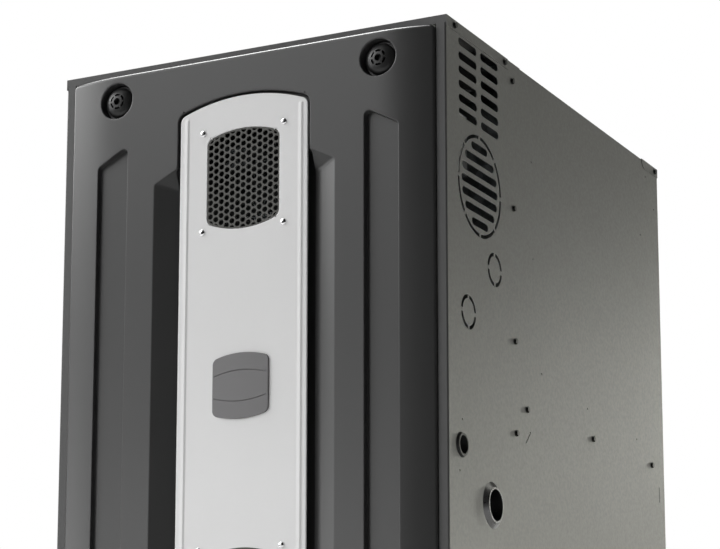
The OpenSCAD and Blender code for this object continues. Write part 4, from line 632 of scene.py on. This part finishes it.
# %% Edge
edge_corner, side_fillet, end_fillet_extra, edge_ring = 6 * mm, 2.5 * mm, 2 * mm, 1.2 * mm
edge_step, corner_steps = 6 * mm, 8
edge_box = box_loop(-door_half, door_half, -door_half_h, door_half_h, edge_corner, corner_steps)
edge_loop = densified(edge_box, edge_step)
edge_normal = outward(edge_loop)
edge_radius = side_fillet + end_fillet_extra * edge_normal[:, 1] ** 2
off, drop = quarter(1.0, 7)
inset = np.concatenate([edge_radius[:, None] + edge_ring, edge_radius[:, None] * off], 1)
edge_flat = edge_loop[:, None] - edge_normal[:, None] * inset[..., None]
edge_depth = face_drop(edge_flat[..., 0])
edge_depth[:, 1:] += edge_radius[:, None] * drop
edge_flat = np.concatenate([edge_flat, edge_flat[:, -1:]], 1)
edge_depth = np.concatenate([edge_depth, np.full_like(edge_depth[:, :1], door_back - face)], 1)
door_parts = [strip(edge_flat, edge_depth)]
rims, face_outline = [], edge_flat[:, 0]
print("the edge's outline has", len(edge_loop), "points")

# %% Pockets
pocket_top_gap, pocket_slant, pocket_corner = 94.3 * mm, 23 * mm, 6 * mm
pocket_in, pocket_out, pocket_depth = 165.6 * mm, 209.4 * mm, 8 * mm
pocket_rim, rim_ring, draft, pocket_bottom = 1.1 * mm, 1.5 * mm, 0.3 * mm, 0.5 * mm
pocket_step = 8 * mm
pocket_top = door_half_h - pocket_top_gap
pocket_low = pocket_top - pocket_slant
pocket_corners = [[pocket_in, -pocket_top], [pocket_out, -pocket_low], [pocket_out, pocket_low],
                  [pocket_in, pocket_top]]
right_pocket = densified(rounded_loop([[x, z, pocket_corner] for x, z in pocket_corners]), pocket_step)
off_in, drop_in = quarter(pocket_rim, 4, rim_ring)
turn = np.radians(np.linspace(0, 90, 5))
pocket_off = np.concatenate([off_in, -draft - pocket_bottom * (1 - np.cos(turn))])
pocket_share = np.concatenate([drop_in / pocket_depth, 1 - pocket_bottom / pocket_depth * (1 - np.sin(turn))])
for side in (1, -1):
    loop = right_pocket if side == 1 else right_pocket[::-1] * [-1, 1]
    flat, depth = carried(loop, pocket_off, pocket_share, pocket_depth)
    door_parts.append(strip(flat, depth))
    bottom, triangles = filled(flat[:, -1])
    door_parts.append((on_door(bottom, np.full(len(bottom), pocket_depth)), triangles))
    rims.append(flat[:, 0])
print("a pocket's outline has", len(right_pocket), "points")

# %% Cups of the knobs
knob_low, knob_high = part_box("knob_right")
knob_x, knob_z = 183.3 * mm, (knob_low.z + knob_high.z) / 2 - middle_z
cup_radius, cup_depth, cup_rim, cup_bottom = 23 * mm, 13 * mm, 1.6 * mm, 2 * mm
half_way, floor_rows = 0.5, [-8 * mm, -19 * mm]
off_in, drop_in = quarter(cup_rim, 6, rim_ring)
cup_off = np.concatenate([off_in, [0], -cup_bottom * (1 - np.cos(turn)), floor_rows])
bottom_share = 1 - cup_bottom / cup_depth * (1 - np.sin(turn))
cup_share = np.concatenate([drop_in / cup_depth, [half_way], bottom_share, np.ones(len(floor_rows))])
for side in (1, -1):
    flat, depth = carried(circle_loop(side * knob_x, knob_z, cup_radius), cup_off, cup_share, cup_depth)
    door_parts.append(strip(flat, depth))
    rims.append(flat[:, 0])
print("rims so far", [len(rim) for rim in rims])

# %% [markdown]
# ## The panel's seat and the recess
# One loop serves both. At its arched top and bottom it is the panel's seat, a steep wall down to a narrow
# floor. At its sides it swings out to the recess, where a long slope leads in to a ledge beside the
# panel, and a pit drops from there to under the panel. So each row has two depths, and a point takes
# the one of the stretch that it lies on. The recess's rim is a fillet that turns only as far as the slope.

# %% Outline of the seat and the recess
panel_drop, panel_bulge, seam = 52.7 * mm, 17.7 * mm, 3 * mm
seat_half, seat_top, seat_corner = 92 * mm, door_half_h - panel_drop + seam, 13 * mm
corner_x, corner_gap, join_rise = 126 * mm, 150 * mm, 17 * mm
join_corner, recess_corner, least_swing, seat_step = 5 * mm, 6 * mm, 0.2 * mm, 7 * mm
corner_z = door_half_h - corner_gap
join_z = corner_z + join_rise
top_arch = arch_rows(seat_half, seat_top - panel_bulge, panel_bulge, 1, seat_corner)
bottom_arch = arch_rows(seat_half, panel_bulge - seat_top, panel_bulge, -1, seat_corner)
waist = np.array([[-seat_half, join_z, join_corner], [-corner_x, corner_z, recess_corner],
                  [-corner_x, -corner_z, recess_corner], [-seat_half, -join_z, join_corner]])
seat_corners = np.concatenate([top_arch, waist, bottom_arch, waist * [-1, -1, 1]])
seat_loop = densified(rounded_loop(seat_corners), seat_step)
in_recess = (np.abs(seat_loop[:, 0]) > seat_half + least_swing) & (np.abs(seat_loop[:, 1]) < join_z)
print("seat and recess loop", len(seat_loop), "points,", int(in_recess.sum()), "in the recess")

# %% Rows of the seat and the recess
ledge_x, ledge_depth, recess_depth, seat_depth = 95 * mm, 11 * mm, 20 * mm, 10 * mm
seat_rim, recess_rim, seat_ring, seat_draft = 1.2 * mm, 7 * mm, 1.4 * mm, 0.3 * mm
ledge_gap, least_fall, pit_step, floor_step = 2 * mm, 0.02 * mm, 1.5 * mm, 0.5 * mm
floor_run, floor_fall = 13 * mm, 0.3 * mm
past = np.clip((corner_x - np.abs(seat_loop[:, 0])) / (corner_x - ledge_x), 0, 1)
sign, ledge_share = np.sign(seat_loop[:, 0]), 0.9575
ledge_reach = np.minimum(ledge_x, np.abs(seat_loop[:, 0]) - ledge_gap)
ledge = np.stack([sign * ledge_reach, seat_loop[:, 1] * (ledge_share + (1 - ledge_share) * past)], 1)
normal = outward(seat_loop)
off_seat, drop_seat = quarter(seat_rim, 4, seat_ring)
bend = np.arctan2(ledge_depth, corner_x - ledge_x)
turned = bend * np.linspace(0, 1, 5)
off_bend = recess_rim * np.tan(bend / 2) - recess_rim * np.sin(turned)
drop_bend = recess_rim * (1 - np.cos(turned))
off_bend, drop_bend = np.append(off_bend[0] + seat_ring, off_bend), np.append(0, drop_bend)
in_column = in_recess[:, None]
rows_flat = [seat_loop + normal * np.where(in_column, b, s) for b, s in zip(off_bend, off_seat)]
rows_depth = [np.where(in_recess, b, s) for b, s in zip(drop_bend, drop_seat)]
for share in (0.3, 0.65, 1.0):
    on_slope, on_wall = seat_loop + (ledge - seat_loop) * share, seat_loop - normal * seat_draft * share
    rows_flat.append(np.where(in_column, on_slope, on_wall))
    slope = np.maximum(ledge_depth * (1 - past) * share, rows_depth[-1] + least_fall)
    rows_depth.append(np.where(in_recess, slope, seat_depth * share))
for run, fall in ((0, 0), (floor_run, floor_fall)):
    in_pit = ledge - np.stack([sign * (pit_step + run), 0 * sign], 1)
    on_floor = seat_loop - normal * (floor_step + run)
    rows_flat.append(np.where(in_column, in_pit, on_floor))
    rows_depth.append(np.where(in_recess, recess_depth, seat_depth) + fall)
seat_flat, seat_rows = np.stack(rows_flat, 1), np.stack(rows_depth, 1)
door_parts.append(strip(seat_flat, seat_rows))
rims.append(seat_flat[:, 0])
print("seat and recess rows", len(rows_flat))

# %% [markdown]
# ## The door's face
# The roll needs columns of points, or its curve would be cut into flats. They stand at given distances
# from the door's edge, at the heights of the edge's own points, and clear of every rim. The fill then
# joins them with the rims, and each point takes its depth from the face's formula.

# %% Fill the face and weld the door
column_steps = [7, 4, 5, 6, 7, 7, 7, 7, 7, 7, 7, 6, 6]
side_reach, corner_reach, rim_gap = 4 * mm, 7 * mm, 2.2 * mm
column_x = door_half - np.cumsum(column_steps) * mm
on_side = np.abs(face_outline[:, 0]) > door_half - side_reach
below_corner = np.abs(face_outline[:, 1]) < door_half_h - corner_reach
row_z = np.unique(np.round(face_outline[on_side & below_corner, 1], 6))
grid = grid_points(np.concatenate([-column_x, column_x]), row_z)
clear = clear_of(grid, [*rims, face_outline], rim_gap)
for rim in rims:
    clear &= ~inside(grid, rim)
flat, triangles = filled(face_outline, rims, grid[clear])
door_parts.append((on_door(flat, face_drop(flat[:, 0])), triangles))
weld("door_skin", door_parts, "door", door_finish, ["door_shell"], wall=1.5 * mm)

# %% [markdown]
# ## The silver centre panel
# A thin painted panel stands in the seat with a dark seam all round. It has a raised bead along each long
# edge and two windows for the grilles. Its outline, windows and beads are carried profiles too.

# %% Outline and windows of the centre panel
panel_face, panel_half, panel_corner = 1.0 * mm, 89 * mm, 10 * mm
panel_top = door_half_h - panel_drop
panel_loop = arched_loop(panel_half, panel_top, panel_bulge, -panel_top, panel_bulge, panel_corner)
panel_rim, panel_ring, panel_side, panel_step = 1.1 * mm, 1 * mm, 2.2 * mm, 12 * mm
panel_loop = densified(panel_loop, panel_step)
panel_parts, holes = [], []
off_in, drop_in = quarter(panel_rim, 4, panel_ring)
flat = offset_rows(panel_loop, -np.append(off_in, 0))
depth = np.broadcast_to(panel_face + np.append(drop_in, panel_side), flat.shape[:2])
panel_parts.append(strip(flat, depth))
panel_outline = flat[:, 0]
window_half, window_top, window_low, window_corner = 50.2 * mm, 321.8 * mm, 195.0 * mm, 11 * mm
high_bulge, low_bulge = 10.1 * mm, 11 * mm
window_rim, window_ring, window_side = 0.7 * mm, 0.8 * mm, 2.0 * mm
windows = [(window_top, high_bulge, window_low, low_bulge), (-window_low, low_bulge, -window_top, high_bulge)]
for top, top_bulge, low, bottom_bulge in windows:
    loop = arched_loop(window_half, top, top_bulge, low, bottom_bulge, window_corner)
    loop = densified(loop, panel_step)
    off_in, drop_in = quarter(window_rim, 3, window_ring)
    flat = offset_rows(loop, np.append(off_in, 0))
    depth = np.broadcast_to(panel_face + np.append(drop_in, window_side), flat.shape[:2])
    panel_parts.append(strip(flat, depth))
    holes.append(flat[:, 0])
print("panel outline", len(panel_outline), "points, windows", [len(hole) for hole in holes])

# %% Beads, and the panel's weld
bead_x, bead_half, bead_gap, bead_height = 79.5 * mm, 4.5 * mm, 18.5 * mm, 0.55 * mm
end_radius, crest_off, reach_share, bead_step = 4.49 * mm, 1.8 * mm, 0.995, 14 * mm
bead_end = panel_top - bead_gap
for side in (1, -1):
    inner, outer = side * bead_x - bead_half, side * bead_x + bead_half
    loop = densified(box_loop(inner, outer, -bead_end, bead_end, end_radius, corner_steps), bead_step)
    share = np.linspace(0, 1, 9)
    height = bead_height * np.sin(np.pi / 2 * share) ** 2
    flat = offset_rows(loop, -bead_half * reach_share * share)
    flat[..., 0] += crest_off * share**2
    panel_parts.append(strip(flat, np.broadcast_to(panel_face - height, flat.shape[:2])))
    holes.append(flat[:, 0])
flat, triangles = filled(panel_outline, holes)
panel_parts.append((on_door(flat, np.full(len(flat), panel_face)), triangles))
weld("silver_panel", panel_parts, "door", panel_finish, ["centre_panel"], wall=0.8 * mm,
     sharp=60)

# %% [markdown]
# ## The badge plate
# The plate is a small crowned shield with two curved grooves, and is left bare between them. Each groove is
# a narrow channel: four rows of points along a shallow parabola, the middle two sunk, which run out to
# the surface at both ends.


# %% Badge plate
badge_half, badge_half_h, badge_bulge, badge_corner = 38.4 * mm, 40.4 * mm, 6.5 * mm, 8 * mm
badge_proud, badge_rim, badge_ring = 3 * mm, 0.8 * mm, 0.6 * mm
crown_fall, crown_x, crown_z = 0.9 * mm, 52 * mm, 56 * mm
badge_step, badge_arch_steps = 3 * mm, 12


def badge_drop(flat):
    """The crown stands 3 mm proud of the panel in its middle, and falls off by 0.9 mm times the sum of
    (x / 52 mm)^2 and (z / 56 mm)^2."""
    away = (flat[..., 0] / crown_x) ** 2 + (flat[..., 1] / crown_z) ** 2
    return panel_face - badge_proud + crown_fall * away


badge_loop = arched_loop(badge_half, badge_half_h, badge_bulge, -badge_half_h, badge_bulge, badge_corner,
                         badge_arch_steps)
badge_loop = densified(badge_loop, badge_step)
off_in, drop_in = quarter(badge_rim, 5, badge_ring)
flat = offset_rows(badge_loop, -np.append(off_in, 0))
depth = badge_drop(flat) + np.append(drop_in, 0)
depth[:, -1] = panel_face
badge_parts, badge_outline, grooves = [strip(flat, depth)], flat[:, 0], []
print("badge outline", len(badge_outline), "points")

# %% Grooves, and the badge's weld
groove_end, groove_depth, groove_z, groove_rise = 36 * mm, 1.2 * mm, 12.5 * mm, 6.5 * mm
run_out, groove_gap = 0.8, 1.3 * mm
along = np.linspace(-groove_end, groove_end, 47)
across = np.array([0.5, 0.36, -0.36, -0.5]) * mm
for side in (1, -1):
    middle = side * (groove_z + groove_rise * (1 - (along / badge_half) ** 2))
    flat = np.stack(np.broadcast_arrays(along[:, None], middle[:, None] + across), 2)
    sunk = np.minimum(groove_depth, run_out * (groove_end - np.abs(along)))[:, None] * [0, 1, 1, 0]
    channel = on_door(flat, badge_drop(flat) + sunk).reshape(-1, 3)
    badge_parts.append((channel, grid_faces(len(along), len(across), closed=False)))
    grooves.append(np.concatenate([flat[::-1, 0], flat[0, 1:3], flat[:, 3], flat[-1, 2:0:-1]]))
crown_columns, crown_rows = np.arange(-35, 36, 5) * mm, np.arange(-38, 39, 4) * mm
grid = grid_points(crown_columns, crown_rows)
clear = inside(grid, badge_outline) & clear_of(grid, [badge_outline, *grooves], groove_gap)
flat, triangles = filled(badge_outline, grooves, grid[clear])
badge_parts.append((on_door(flat, badge_drop(flat)), triangles))
weld("badge_shield", badge_parts, "door", badge_finish, ["badge_plate"])

# %% [markdown]
# ## The panel's screws
# Each pan head is one profile turned round its axis: a low dome, sunk a little in the panel, with a
# round driver recess in its middle.

# %% Panel screws
# The head's sizes, in millimetres
head_radius, dome_rise, collar, recess_radius, recess_floor = 4, 2.4, 0.2, 1.0, 1.2
foot, recess_lip, recess_draft = 0.3, 2.45, 0.05
rise_angle = np.radians(np.linspace(8, 74, 8))
head_r = np.concatenate([[head_radius, head_radius], head_radius * np.cos(rise_angle),
                         [recess_radius + recess_draft, recess_radius - recess_draft, 0]]) * mm
head_h = np.concatenate([[-foot, collar], collar + dome_rise * np.sin(rise_angle),
                         [recess_lip, recess_floor, recess_floor]]) * mm
turn = np.linspace(0, 2 * np.pi, 32, endpoint=False)
screw_x, screw_high, screw_low = 56.4 * mm, 321.4 * mm, 195.7 * mm
heads = []
for x, z in [(sx * screw_x, sz * z) for sx in (1, -1) for sz in (1, -1) for z in (screw_high, screw_low)]:
    flat = np.stack([x + np.outer(np.cos(turn), head_r), z + np.outer(np.sin(turn), head_r)], 2)
    heads.append(strip(flat, np.broadcast_to(panel_face - head_h, flat.shape[:2])))
weld("pan_heads", heads, "door", chrome, ["panel_screws"], sharp=60)
